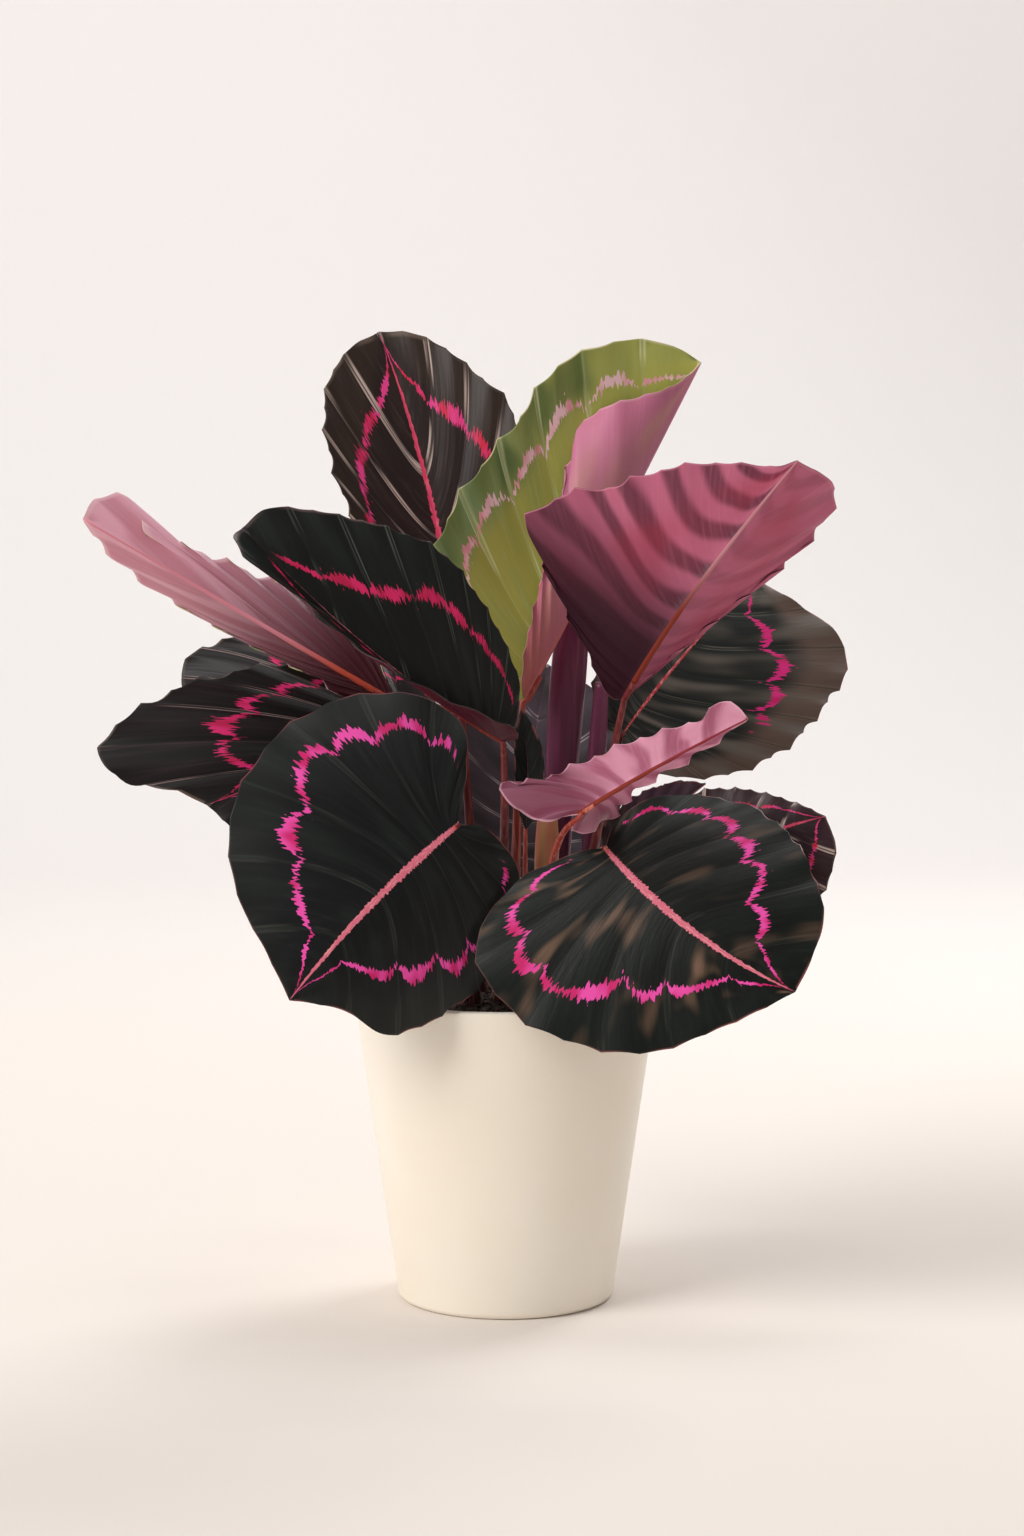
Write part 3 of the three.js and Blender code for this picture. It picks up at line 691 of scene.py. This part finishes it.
def shell_faces(top, bottom):
    """The faces between two grids of vertex numbers, and their material: 1 for the lower
    face and 0 for the rest."""
    faces, sides = [], []

    def add(corners, side):
        ring = [c for k, c in enumerate(corners) if c != corners[k - 1]]
        if len(ring) > 2:
            faces.append(ring)
            sides.append(side)

    for row in range(len(top) - 1):
        for column in range(len(top[row]) - 1):
            add(cell(top, row, column), 0)
            first, *others = cell(bottom, row, column)
            add((first, *reversed(others)), 1)
        add((top[row, 0], top[row + 1, 0], bottom[row + 1, 0], bottom[row, 0]), 0)
        add((top[row, -1], bottom[row, -1], bottom[row + 1, -1], top[row + 1, -1]), 0)
    return faces, sides


def blade_mesh(leaf):
    """One closed blade: a fine grid on each face, joined round the edge."""
    leaf["rib"] = Midrib(*leaf["midrib"])
    rows = leaf["veins"] * VEIN_STEPS
    u, v = np.meshgrid(np.linspace(0, 1, rows + 1), ACROSS, indexing="ij")
    left = blade_points(leaf, -1, u, v)
    right = blade_points(leaf, 1, u, v)
    points, normals, reach, share = map(joined, left, right)
    left_normal, right_normal = left[1][:, :1], right[1][:, :1]
    agreement = (left_normal * right_normal).sum(-1, keepdims=True)
    mitre = (left_normal + right_normal) / (1 + agreement)
    middle = len(ACROSS) - 1
    normals[:, middle] = mitre[:, 0]
    along, signed = joined(u, u), joined(-v, v)
    nearness = np.minimum(np.abs(signed) * reach / MIDRIB_WIDTH, 1)
    ridge = MIDRIB_HEIGHT * (1 - MIDRIB_TAPER * along) * np.cos(nearness * math.pi / 2) ** 2
    upper = points + normals * BLADE_THICKNESS / 2
    lower = points - normals * BLADE_THICKNESS / 2 - unit(mitre) * ridge[..., None]
    kept = np.ones(along.shape, bool)
    kept[[0, -1]] = False
    kept[[0, -1], middle] = True
    top = np.cumsum(kept).reshape(kept.shape) - 1
    top[[0, -1]] = top[[0, -1], middle][:, None]
    bottom = top + kept.sum()
    faces, sides = shell_faces(top, bottom)
    vertices = np.concatenate([upper[kept], lower[kept]])
    piece = mesh_object("leaf_" + leaf["name"], vertices, faces)
    places = np.stack([along, signed, reach / MM], -1)[kept]
    store(piece, "vein_place", "FLOAT_VECTOR", [places, places])
    store(piece, "midrib_share", "FLOAT", [share[kept], share[kept]])
    piece.data.polygons.foreach_set("material_index", sides)
    piece.data.shade_smooth()
    return piece


# Leaf markings
# The upper face is dark with a thin jagged ring of rose arcs and a rose stripe on the
# midrib. The lower face is rose to plum with soft bands that follow the side veins.
LEAF_SPECULAR = 0.24
UPPER_RELIEF = 0.12 * MM
LOWER_RELIEF = 0.14 * MM
SEED_STEP = 11.3

# Colours are as seen on a screen, and a share says how strongly one covers. Level, bulge
# and width set the ring, from 0 at the midrib to 1 at the margin. Other places run from 0
# at the stalk to 1 at the tip, and stripe width is in millimetres.
# The soft colour is a painted sheen on the pleat crests, laid in patches.
DARK = dict(
    inside=(13, 15, 16), outside=(20, 23, 21), vein=(42, 50, 44), soft=(32, 38, 35),
    pleat_sheen_share=0.5, pale=(120, 116, 108), pale_share=0.12, pale_size=0.3,
    stripe=(222, 112, 134), stripe_base=(190, 66, 60), stripe_light=(240, 170, 170),
    stripe_width=2.4, ring=(242, 82, 176), ring_dark=(208, 32, 108), ring_share=1.0,
    level=0.72, tip=4.0, bulge=0.13, width=0.05, start=0.12, bronze_share=0.0,
    bronze=(118, 92, 74), margin=(128, 72, 72), blotch=(24, 28, 26), blotch_share=0.0,
    stop=2.0, fresh=(176, 176, 88), fresh_share=0.0, bronze_left=1.0,
)
BROWN = dict(
    DARK, inside=(36, 25, 23), outside=(46, 35, 29), vein=(96, 80, 74), soft=(56, 42, 38),
    pale=(200, 180, 170), pale_share=1.0, pale_size=0.42, margin=(96, 80, 70),
    ring=(226, 66, 140), ring_dark=(206, 30, 68), stripe=(206, 62, 96), stripe_base=(196, 52, 66),
    stripe_light=(226, 110, 130), stripe_width=1.9, width=0.042, tip=14.0, bulge=0.06,
)
YOUNG = dict(
    DARK, inside=(158, 150, 72), outside=(122, 138, 90), vein=(176, 184, 130),
    soft=(138, 146, 80), pale=(216, 214, 164), pale_share=0.6, ring=(240, 196, 202),
    ring_dark=(222, 140, 150), stripe=(214, 150, 150), stripe_base=(206, 120, 110),
    stripe_width=1.0, tip=14.0, level=0.76, width=0.036, margin=(206, 196, 150),
    blotch=(70, 92, 50), blotch_share=0.8, fresh_share=0.8,
)
BLACK = dict(
    BROWN, inside=(19, 14, 15), outside=(20, 15, 16), vein=(66, 50, 50), soft=(40, 30, 32),
    pale=(176, 150, 146), pale_share=0.55, pale_size=0.2, ring=(222, 44, 116),
    ring_dark=(186, 24, 78), stripe_width=1.2, tip=4.0, bulge=0.12,
)
BARE = dict(DARK, inside=(16, 18, 18), outside=(20, 22, 21), ring_share=0.0, stripe_width=0.4)
# In the lower looks, dusk is painted shade near the stalk; the lilac's dusk is an orange-brown.
ROSE = dict(
    light=(190, 100, 128), deep=(84, 32, 48), fine=(204, 126, 148), rib=(138, 50, 34),
    rib_tip=(206, 140, 150), rib_end=0.65, tint=(170, 40, 66), tint_share=0.4, band=0.8,
    dusk=(50, 9, 28), dusk_left=0.2, dusk_right=1.0, dusk_start=0.18, dusk_end=0.58,
    grey=(110, 92, 100), grey_share=0.8, lean=0.14, plain_left=0.7, bands=1.4,
)
PALE_ROSE = dict(
    ROSE, light=(224, 154, 180), deep=(166, 82, 112), fine=(236, 184, 200), tint_share=0.1,
    dusk=(104, 36, 62), dusk_left=0.6, dusk_right=0.9, dusk_start=-0.1, dusk_end=0.34,
    grey_share=0.0, rib_tip=(150, 50, 60), lean=0.0, plain_left=0.0, bands=1.0,
)
MAROON = dict(
    ROSE, light=(84, 28, 42), deep=(54, 18, 28), fine=(100, 40, 54), tint_share=0.0, lean=0.0,
    dusk=(44, 15, 22), grey_share=0.0,
)
LILAC = dict(
    PALE_ROSE, light=(204, 120, 152), deep=(194, 112, 138), fine=(218, 158, 170), band=0.4,
    tint=(208, 154, 140), tint_share=0.6, rib=(200, 110, 110), rib_tip=(214, 140, 170),
    dusk=(182, 92, 80), dusk_left=0.8, dusk_right=0.8, dusk_start=0.0, dusk_end=0.45,
)
UPPER_LOOKS = {
    "front_left": dict(DARK, start=0.2, level=0.76),
    "front_right": dict(
        DARK, inside=(11, 15, 12), outside=(14, 19, 15), soft=(26, 32, 28), vein=(36, 44, 38),
        bronze_share=1.0, bronze_left=0.35, level=0.74,
    ),
    "mid_left": dict(
        DARK, inside=(14, 15, 14), outside=(18, 20, 18), vein=(34, 40, 36), bulge=0.04,
        pale=(104, 110, 102), pale_share=0.45, ring=(212, 40, 100), ring_dark=(178, 24, 70),
        level=0.66, tip=7.0, stop=0.97, margin=(84, 66, 66), stripe_width=0.8,
    ),
    "back_left": BROWN,
    "young": YOUNG,
    "right_top": DARK,
    # The right leaf has a strong painted sheen on its pleats.
    "right": dict(
        DARK, inside=(31, 34, 32), outside=(100, 82, 74), soft=(104, 96, 88), pleat_sheen_share=0.9,
        pale=(128, 122, 112), pale_share=0.4, ring=(228, 44, 134), stripe=(190, 62, 70),
        stripe_width=1.1, start=0.52,
    ),
    "low_centre": BARE,
    "left_high": dict(YOUNG, inside=(96, 110, 80)),
    "left_low": BLACK,
    "left_back": BLACK,
    "right_low_back": dict(BROWN, inside=(44, 26, 33), outside=(56, 34, 42)),
    "right_low": BARE,
    # The back leaf is painted silver-grey with pale streaks all over: a painted sheen on a dark
    # blade.
    "back": dict(
        BARE, inside=(92, 86, 94), outside=(92, 86, 94), pale=(196, 190, 196), pale_share=1.0
    ),
    "inner": BARE,
}
# The lower faces that aren't plain maroon.
LOWER_LOOKS = {
    "young": LILAC,
    "right_top": ROSE,
    "low_centre": PALE_ROSE,
    "left_high": dict(
        PALE_ROSE, light=(216, 158, 174), deep=(170, 96, 112), fine=(226, 184, 190),
        rib=(176, 70, 50), rib_end=0.45, rib_tip=(206, 128, 142), dusk=(62, 16, 26),
        dusk_left=1.0, dusk_right=1.0, dusk_start=0.14, dusk_end=0.8, band=0.6,
    ),
    "right_low": dict(MAROON, light=(86, 58, 78), deep=(60, 38, 54)),
}


def stored(sheet, name, output="Fac"):
    """A value that the mesh keeps for each vertex."""
    return sheet.node("ShaderNodeAttribute", {"attribute_name": name}, None, output)


class Spot:
    """Where a point lies on its blade, and noise that follows the side veins there.

    u goes from stalk to tip along the margin, and share along the midrib. across goes from
    midrib to margin, and out is the same in millimetres, of a vein as long as vein says.
    side is 0 on the left half and 1 on the right one."""

    def __init__(self, sheet, seed):
        self.seed = seed
        self.u, self.signed, self.vein = stored(sheet, "vein_place", "Vector").split()
        self.share = stored(sheet, "midrib_share")
        self.across = abs(self.signed)
        self.side = self.signed.rise(-0.0001, 0.0001)
        self.out = self.across * self.vein

    def streaks(self, count, breaks, detail=0, lane=5, shift=0):
        """Streaks along the veins: a larger count is finer, and breaks cut them up."""
        lane = self.side * lane + shift
        return grain(point(self.u * count + self.seed, self.across * breaks, lane), 1, detail)

    def swells(self, count, layer):
        """Noise that changes from the stalk to the tip only."""
        return grain(point(self.u * count + self.seed, self.side * 5, layer))


def painted(look, base, covers):
    """A look's base colour with others of its colours laid over it in turn."""
    colour = shade(*look[base])
    for name, cover in covers.items():
        colour = cover.blend(colour, shade(*look[name]))
    return colour


def ring_mask(spot, veins, look):
    """1 on the jagged ring, whose arcs meet at the side veins."""
    u, across, side = spot.u, spot.across, spot.side
    drift = spot.swells(6, 0) - 0.5
    arcs = abs(((u * veins + 0.9 * drift) * math.pi).maths("SINE")) ** 0.5
    tip = (1 - u ** look["tip"]).maths("MAXIMUM", 0.0) ** 0.6
    centre = look["level"] * tip + look["bulge"] * (arcs - 0.7) + 0.16 * drift
    half_width = look["width"] * (0.1 + 0.9 * arcs) * (1.7 * spot.swells(13, 3) - 0.1)
    tooth = spot.streaks(190, 4, 2) - 0.5
    other_tooth = grain(point(u * 160 - spot.seed, across * 4, side * 5 + 2), 1, 2) - 0.5
    inner = (across - centre + half_width - 0.15 * tooth).rise(0, 0.006)
    outer = (centre + half_width - 0.17 * other_tooth - across).rise(0, 0.006)
    broken = spot.swells(46, 8) + 5 * (u - look["start"])
    shown = broken.rise(0.4, 0.5) * (1 - u.rise(look["stop"] - 0.03, look["stop"]))
    speck = spot.streaks(210, 16, 1, lane=7).rise(0.74, 0.76)
    near = 1 - abs(across - centre).rise(0.03, 0.11)
    ring = (inner * outer + speck * near.rise(0.3, 0.35)) * shown
    return ring.maths("MINIMUM", 1.0) * look["ring_share"]


def upper_flesh(spot, veins, look, streak):
    """The ground of the upper face: painted sheen on the pleats, pale streaks by the veins (painted
    sheen, light veins on young leaves) and bronze streaks.
    """
    crease = abs((spot.u * veins * math.pi).maths("SINE"))
    beyond = (spot.across - look["level"]).rise(-0.1, 0.1)
    patch = spot.streaks(12, 1.8, 1, lane=9)
    # Pale streaks that wander along the veins: a painted sheen on the dark leaves, and on the young
    # ones their own light veins.
    wander = 0.12 * spot.streaks(20, 2, lane=3) + 0.06
    pale = 1 - abs(crease - wander).rise(look["pale_size"] * 0.1, look["pale_size"] * 0.3)
    pale = pale * spot.streaks(150, 1.6, 1).rise(0.3, 0.6)
    bronze = spot.streaks(15, 1.9, 1, lane=9).rise(0.54, 0.74) * (0.3 + streak)
    bronze = bronze * (look["bronze_left"] + (1 - look["bronze_left"]) * spot.side)
    return painted(look, "inside", {
        "outside": beyond,
        "fresh": spot.u.rise(0.45, 0.75) * look["fresh_share"],
        "blotch": patch.rise(0.5, 0.68) * look["blotch_share"] * beyond,
        # Painted sheen on the pleat crests between the side veins, in patches.
        "soft": crease.rise(0.3, 1.0) * patch.rise(0.35, 0.7) * look["pleat_sheen_share"],
        "vein": (1 - crease.rise(0.02, 0.1)) * 0.35 + 0.25 * streak.rise(0.5, 0.8),
        "pale": pale * spot.streaks(16, 2.6, shift=4).rise(0.36, 0.6) * look["pale_share"],
        "bronze": bronze * look["bronze_share"],
    })


def stripe_colour(spot, look):
    """Rose, redder towards the stalk, with light threads along the midrib."""
    thread = grain(point(spot.u * 40 + spot.seed, spot.signed * spot.vein * 1.6, 1.0), 1, 1)
    return painted(look, "stripe_base", {
        "stripe": spot.u.rise(0.02, 0.3),
        "stripe_light": 0.7 * thread.rise(0.5, 0.7),
    })


def upper_face(leaf, look, seed):
    def build(sheet):
        spot = Spot(sheet, seed)
        streak = spot.streaks(75, 2, 2)
        colour = upper_flesh(spot, leaf["veins"], look, streak)
        ring = ring_mask(spot, leaf["veins"], look)
        bright = spot.streaks(22, 3, 1).rise(0.35, 0.6)
        colour = ring.blend(colour, painted(look, "ring_dark", {"ring": bright}))
        teeth = grain(point(spot.u * 120 + seed, spot.out * 0.2, spot.side * 5), 1, 2)
        taper = (1 - spot.share) ** 0.6 * (0.45 + 2.2 * spot.share).maths("MINIMUM", 1.0)
        stripe = look["stripe_width"] * taper * (0.1 + 1.7 * teeth) - spot.out
        colour = stripe.rise(0.0, 0.3).blend(colour, stripe_colour(spot, look))
        # A thin line along the margin, in patches: partly the blade's own reddish edge, partly a
        # painted highlight on the rim.
        rim_patches = spot.swells(9, 12).rise(0.42, 0.6)
        margin = (1 - (spot.vein - spot.out).rise(0.2, 0.6)) * rim_patches
        colour = margin.blend(colour, shade(*look["margin"]))
        roughness = 0.34 + 0.14 * streak + 0.1 * ring
        return colour, roughness, (streak + 0.5 * teeth, UPPER_RELIEF)
    return build


def dusk_cover(spot, look):
    """Painted shade that spreads from the stalk over the lower face and up its right margin; on the
    lilac face it is orange-brown instead.
    """
    reach = spot.side * (look["dusk_right"] - look["dusk_left"]) + look["dusk_left"]
    dusk = (1 - spot.share.rise(look["dusk_start"], look["dusk_end"])) * reach
    hem = spot.across.rise(0.7, 1.05) * (1 - spot.u.rise(0.35, 0.5)) * spot.side
    return dusk.maths("MAXIMUM", hem * look["dusk_right"])


def lower_face(leaf, look, seed):
    def build(sheet):
        spot = Spot(sheet, seed)
        u, across, side = spot.u, spot.across, spot.side
        row = (u - look["lean"] * (1 - across)) * leaf["veins"] * look["bands"]
        wobble = spot.streaks(10, 1.2) - 0.5
        swing = ((row + 0.8 * wobble) * (2 * math.pi)).maths("SINE")
        deep = swing.rise(-0.7, 0.8) * look["band"] * (1 - (1 - side) * look["plain_left"])
        thread = spot.streaks(95, 1.2, 2)
        glow = 0.3 + 0.7 * spot.streaks(7, 2, 1).rise(0.4, 0.65)
        # Painted shade near the stalk and along the right margin, orange-brown on the lilac face.
        dusk = dusk_cover(spot, look)
        feather = (0.2 * grain(point(u * 130, 0.0, side * 5)) - across).rise(0.0, 0.09)
        colour = painted(look, "light", {
            "deep": deep,
            "fine": thread.rise(0.42, 0.8) * 0.2,
            "tint": glow * (1 - abs(across - 0.5).rise(0.1, 0.4)) * look["tint_share"],
            "dusk": dusk,
            "grey": feather * deep * (1 - dusk) * look["grey_share"],
        })
        tipward = spot.share.rise(look["rib_end"] - 0.3, look["rib_end"])
        rib = (1.7 - 1.2 * spot.share - spot.out).rise(0.0, 0.3)
        colour = rib.blend(colour, painted(look, "rib", {"rib_tip": tipward}))
        # A lighter line along the margin: a painted highlight on the rim.
        margin = 1 - (spot.vein - spot.out).rise(0.2, 0.7)
        colour = (0.6 * margin).blend(colour, shade(*look["fine"]))
        return colour, 0.42 + 0.12 * thread, (thread, LOWER_RELIEF)
    return build


for number, leaf in enumerate(LEAVES):
    blade = blade_mesh(leaf)
    seed = SEED_STEP * (number + 1)
    lower_look = LOWER_LOOKS.get(leaf["name"], MAROON)
    builds = {
        "upper": upper_face(leaf, UPPER_LOOKS[leaf["name"]], seed),
        "lower": lower_face(leaf, lower_look, seed),
    }
    for face, build in builds.items():
        material = finish(f"{leaf['name']} {face} face", build, specular=LEAF_SPECULAR)
        blade.data.materials.append(material)
    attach(blade, "root")
    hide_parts("blade_" + leaf["name"])

# Stalks
# Each leaf has one slim round stalk, a little thicker at its foot in the peat. It runs
# on into the midrib under the blade.
STALK_DEPTH = 12 * MM
STALK_SIDES = 18
STALK_STEPS = 48
STALK_RELIEF = 0.15 * MM
STALK_JOIN = 0.015
STALK_OVERRUN = 0.08
STALK_DROP = 0.2 * MM
STALK_TAPER = 0.6


def stalk_tree():
    """A stalk: a round swept along its curve, from one radius to another."""
    inputs = {"Foot radius": "Float", "Top radius": "Float", "Finish": "Material"}
    tree, wires = geometry_tree("stalk along its curve", inputs)
    line = wires["Geometry"].node("GeometryNodeMeshToCurve", None, {"Mesh": wires["Geometry"]})
    share = line.node("GeometryNodeSplineParameter")
    radius = wires["Foot radius"] + (wires["Top radius"] - wires["Foot radius"]) * share
    line = line.node(
        "GeometryNodeStoreNamedAttribute",
        {"data_type": "FLOAT", "domain": "POINT"},
        {"Geometry": line, "Name": "stalk_share", "Value": share},
    )
    ring = line.node(
        "GeometryNodeCurvePrimitiveCircle", None, {"Resolution": STALK_SIDES, "Radius": 1.0}
    )
    tube = line.node(
        "GeometryNodeCurveToMesh",
        None,
        {"Curve": line, "Profile Curve": ring, "Scale": radius, "Fill Caps": True},
    )
    close_tree(tube, wires["Finish"])
    return tree


def stalk_look(low, high, painted_highlight):
    """A stalk's colour from its foot to its top, with painted highlight streaks along it."""
    def build(sheet):
        x, y, z = sheet.node("ShaderNodeTexCoord", None, None, "Object").split()
        streak = grain(point(x * 500, y * 500, z * 14), 1, 2)
        colour = stored(sheet, "stalk_share").rise(0.1, 0.8).blend(shade(*low), shade(*high))
        colour = (0.7 * streak.rise(0.45, 0.75)).blend(colour, shade(*painted_highlight))
        return colour, 0.32 + 0.15 * streak, (streak, STALK_RELIEF)
    return build


STALK_LOOKS = {
    "plum": finish("plum stalk", stalk_look((60, 20, 26), (118, 38, 40), (168, 84, 76))),
    "orange": finish("orange stalk", stalk_look((106, 38, 34), (158, 56, 44), (222, 140, 120))),
    "rolled": finish("rolled leaf", stalk_look((84, 30, 58), (108, 40, 74), (130, 56, 90))),
    "sheath": finish("old sheath", stalk_look((150, 136, 84), (198, 122, 92), (170, 150, 90))),
}


def bezier(corners, share):
    """Places on the curve that starts at the first corner and ends at the last."""
    places = [np.array(corner, float) + 0 * share[:, None] for corner in corners]
    while len(places) > 1:
        places = [
            low * (1 - share[:, None]) + high * share[:, None]
            for low, high in zip(places, places[1:])
        ]
    return places[0]


stalk_rule = stalk_tree()
for leaf in LEAVES:
    foot = np.array([*leaf["foot"], (PEAT_TOP - STALK_DEPTH) / MM])
    corners = [foot, *leaf["bends"], leaf["midrib"][0]]
    route = bezier(corners, np.linspace(0, 1, STALK_STEPS)) * MM
    rib = leaf["rib"]
    under, along = rib.at(np.linspace(STALK_JOIN, STALK_OVERRUN, 5) * rib.length)
    up = np.array(leaf["facing"][0], float)
    up = unit(up - (up * along).sum(-1, keepdims=True) * along)
    colour, foot_radius, top_radius = leaf["stalk"]
    top_radius = STALK_TAPER * top_radius * MM
    under = under - up * (top_radius + STALK_DROP)
    source = corner_chain("stalk_route", [*route, *under])
    values = {
        "Foot radius": foot_radius * MM,
        "Top radius": top_radius,
        "Finish": STALK_LOOKS[colour],
    }
    stalk = grow(source, stalk_rule, values, "stem_" + leaf["name"])
    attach(stalk, "root")
    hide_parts("stalk_" + leaf["name"])

# Rolled leaves and sheath
# Two new leaves stand up among the stalks, still rolled tight along their length, with
# the sheath of an old leaf at the front.
SHOOTS = [
    dict(
        name="rolled_leaf", foot=(22, 8), middle=(26, 12, 250), tip=(35, 18, 342),
        radius=(5, 9.6, 4), flat=0.7, look="rolled", slot="stalk_plum",
    ),
    dict(
        name="rolled_leaf_small", foot=(33, 2), middle=(41, 3, 240), tip=(44, 3, 284),
        radius=(3, 4.4, 3.2), flat=0.8, look="rolled", slot="stalk_plum",
    ),
    dict(
        name="sheath", foot=(16, -19), middle=(18, -23, 190), tip=(19, -24, 234),
        radius=(3, 5.4, 3.6), flat=0.7, look="sheath", slot="stalk_orange",
    ),
]
SHOOT_STEPS = 60
SHOOT_SIDES = 48
SHOOT_SWELL = 2.2
ROLL_OVERLAP = 0.16
ROLL_SEAM = 2.4


def shoot_mesh(shoot):
    """A blade rolled on itself: a spiral section carried up the shoot's curve."""
    foot = [*shoot["foot"], (PEAT_TOP - STALK_DEPTH) / MM]
    spine = Midrib(foot, shoot["middle"], shoot["tip"])
    share = np.linspace(0, 1, SHOOT_STEPS + 1)
    place, along = spine.at(share * spine.length)
    side = unit(np.cross(along, [0, 1, 0]))
    front = np.cross(along, side)
    low, swollen, high = np.array(shoot["radius"]) * MM
    radius = low + (high - low) * share + (swollen - low) * np.sin(math.pi * share**SHOOT_SWELL)
    turn = np.linspace(0, 2 * math.pi, SHOOT_SIDES, endpoint=False)
    reach = 1 - ROLL_OVERLAP * turn / (2 * math.pi)
    wide = (reach * np.cos(turn + ROLL_SEAM))[:, None]
    deep = (reach * np.sin(turn + ROLL_SEAM))[:, None] * shoot["flat"]
    section = side[:, None] * wide + front[:, None] * deep
    vertices = (place[:, None] + radius[:, None, None] * section).reshape(-1, 3)
    faces = []
    for step in range(SHOOT_STEPS):
        for corner in range(SHOOT_SIDES):
            a = step * SHOOT_SIDES + corner
            b = step * SHOOT_SIDES + (corner + 1) % SHOOT_SIDES
            faces.append((a, b, b + SHOOT_SIDES, a + SHOOT_SIDES))
    faces.append(tuple(range(SHOOT_SIDES))[::-1])
    faces.append(tuple(SHOOT_STEPS * SHOOT_SIDES + corner for corner in range(SHOOT_SIDES)))
    piece = mesh_object("shoot_" + shoot["name"], vertices, faces)
    store(piece, "stalk_share", "FLOAT", np.repeat(share, SHOOT_SIDES))
    piece.data.shade_smooth()
    return piece


for shoot in SHOOTS:
    piece = shoot_mesh(shoot)
    piece.data.materials.append(STALK_LOOKS[shoot["look"]])
    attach(piece, "root")
    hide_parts(shoot["name"])

# Floor, light and camera
# A pale floor that turns up into a pale wall, a large soft lamp high on the left, a weak
# warm one on the right, one behind and one on the wall, and the camera in front, a little
# above the middle of the plant.
FLOOR_REACH = 4.0
WALL_DISTANCE = 1.6
WALL_ROUND = 0.7
WALL_HEIGHT = 3.0
BEND_STEPS = 24
AIR_LIGHT = 0.27


def backdrop_mesh():
    bend = [
        (WALL_DISTANCE + WALL_ROUND * math.sin(angle), WALL_ROUND * (1 - math.cos(angle)))
        for angle in np.linspace(0, math.pi / 2, BEND_STEPS)
    ]
    line = [(-FLOOR_REACH, 0), *bend, (WALL_DISTANCE + WALL_ROUND, WALL_HEIGHT)]
    vertices = [(x, y, z) for y, z in line for x in (-FLOOR_REACH, FLOOR_REACH)]
    faces = [(2 * k, 2 * k + 1, 2 * k + 3, 2 * k + 2) for k in range(len(line) - 1)]
    backdrop = mesh_object("backdrop", vertices, faces)
    backdrop.data.shade_smooth()
    return backdrop


def backdrop_colour(sheet):
    depth = sheet.node("ShaderNodeTexCoord", None, None, "Object").split()[1]
    colour = depth.rise(0.1, 2.2).blend(shade(238, 230, 223), shade(244, 241, 240))
    return colour, 0.9, None


backdrop = backdrop_mesh()
backdrop.data.materials.append(finish("pale paper", backdrop_colour, specular=0.1))


def aim_from(stand, place, target):
    """Puts a lamp or camera at a place and turns it to a target."""
    stand.location = place
    stand.rotation_euler = (target - place).to_track_quat("-Z", "Y").to_euler()


def lamp(name, place, target, size, power, colour):
    """A round soft lamp; its size is in metres and its power in watts."""
    light = bpy.data.lights.new(name, "AREA")
    light.shape = "DISK"
    light.size = size
    light.energy = power
    light.color = colour
    aim_from(placed(name, light), Vector(place), Vector(target))


lamp("key lamp", (-2.4, -1.76, 2.4), (0, 0, 0.22), size=2.2, power=93, colour=(1, 0.985, 0.965))
lamp("fill lamp", (1.7, -1.3, 0.8), (0, 0, 0.25), size=1.4, power=1.2, colour=(1, 0.8, 0.64))
lamp("back lamp", (0.9, 1.1, 1.5), (0, 0, 0.3), size=0.8, power=13, colour=(1, 1, 1))
lamp("wall lamp", (0, 0.2, 2.8), (0, 2.3, 0.5), size=1.6, power=22, colour=(1, 0.99, 0.985))

world = bpy.data.worlds.new("studio air")
world.use_nodes = True
background = world.node_tree.nodes["Background"]
background.inputs["Color"].default_value = shade(250, 246, 244)
background.inputs["Strength"].default_value = AIR_LIGHT
bpy.context.scene.world = world
bpy.context.scene.view_settings.view_transform = "Standard"

CAMERA_PLACE = Vector((3, -1500, 380)) * MM
CAMERA_TARGET = Vector((3, 0, 245)) * MM
SENSOR = 36
FOCAL_PIXELS = 3290
PICTURE_HEIGHT = 1536
NEAREST_SEEN = 0.05
FURTHEST_SEEN = 50

camera_data = bpy.data.cameras.new("camera")
camera_data.sensor_width = SENSOR
camera_data.lens = SENSOR * FOCAL_PIXELS / PICTURE_HEIGHT
camera_data.clip_start = NEAREST_SEEN
camera_data.clip_end = FURTHEST_SEEN
camera = placed("camera", camera_data)
aim_from(camera, CAMERA_PLACE, CAMERA_TARGET)
bpy.context.scene.camera = camera
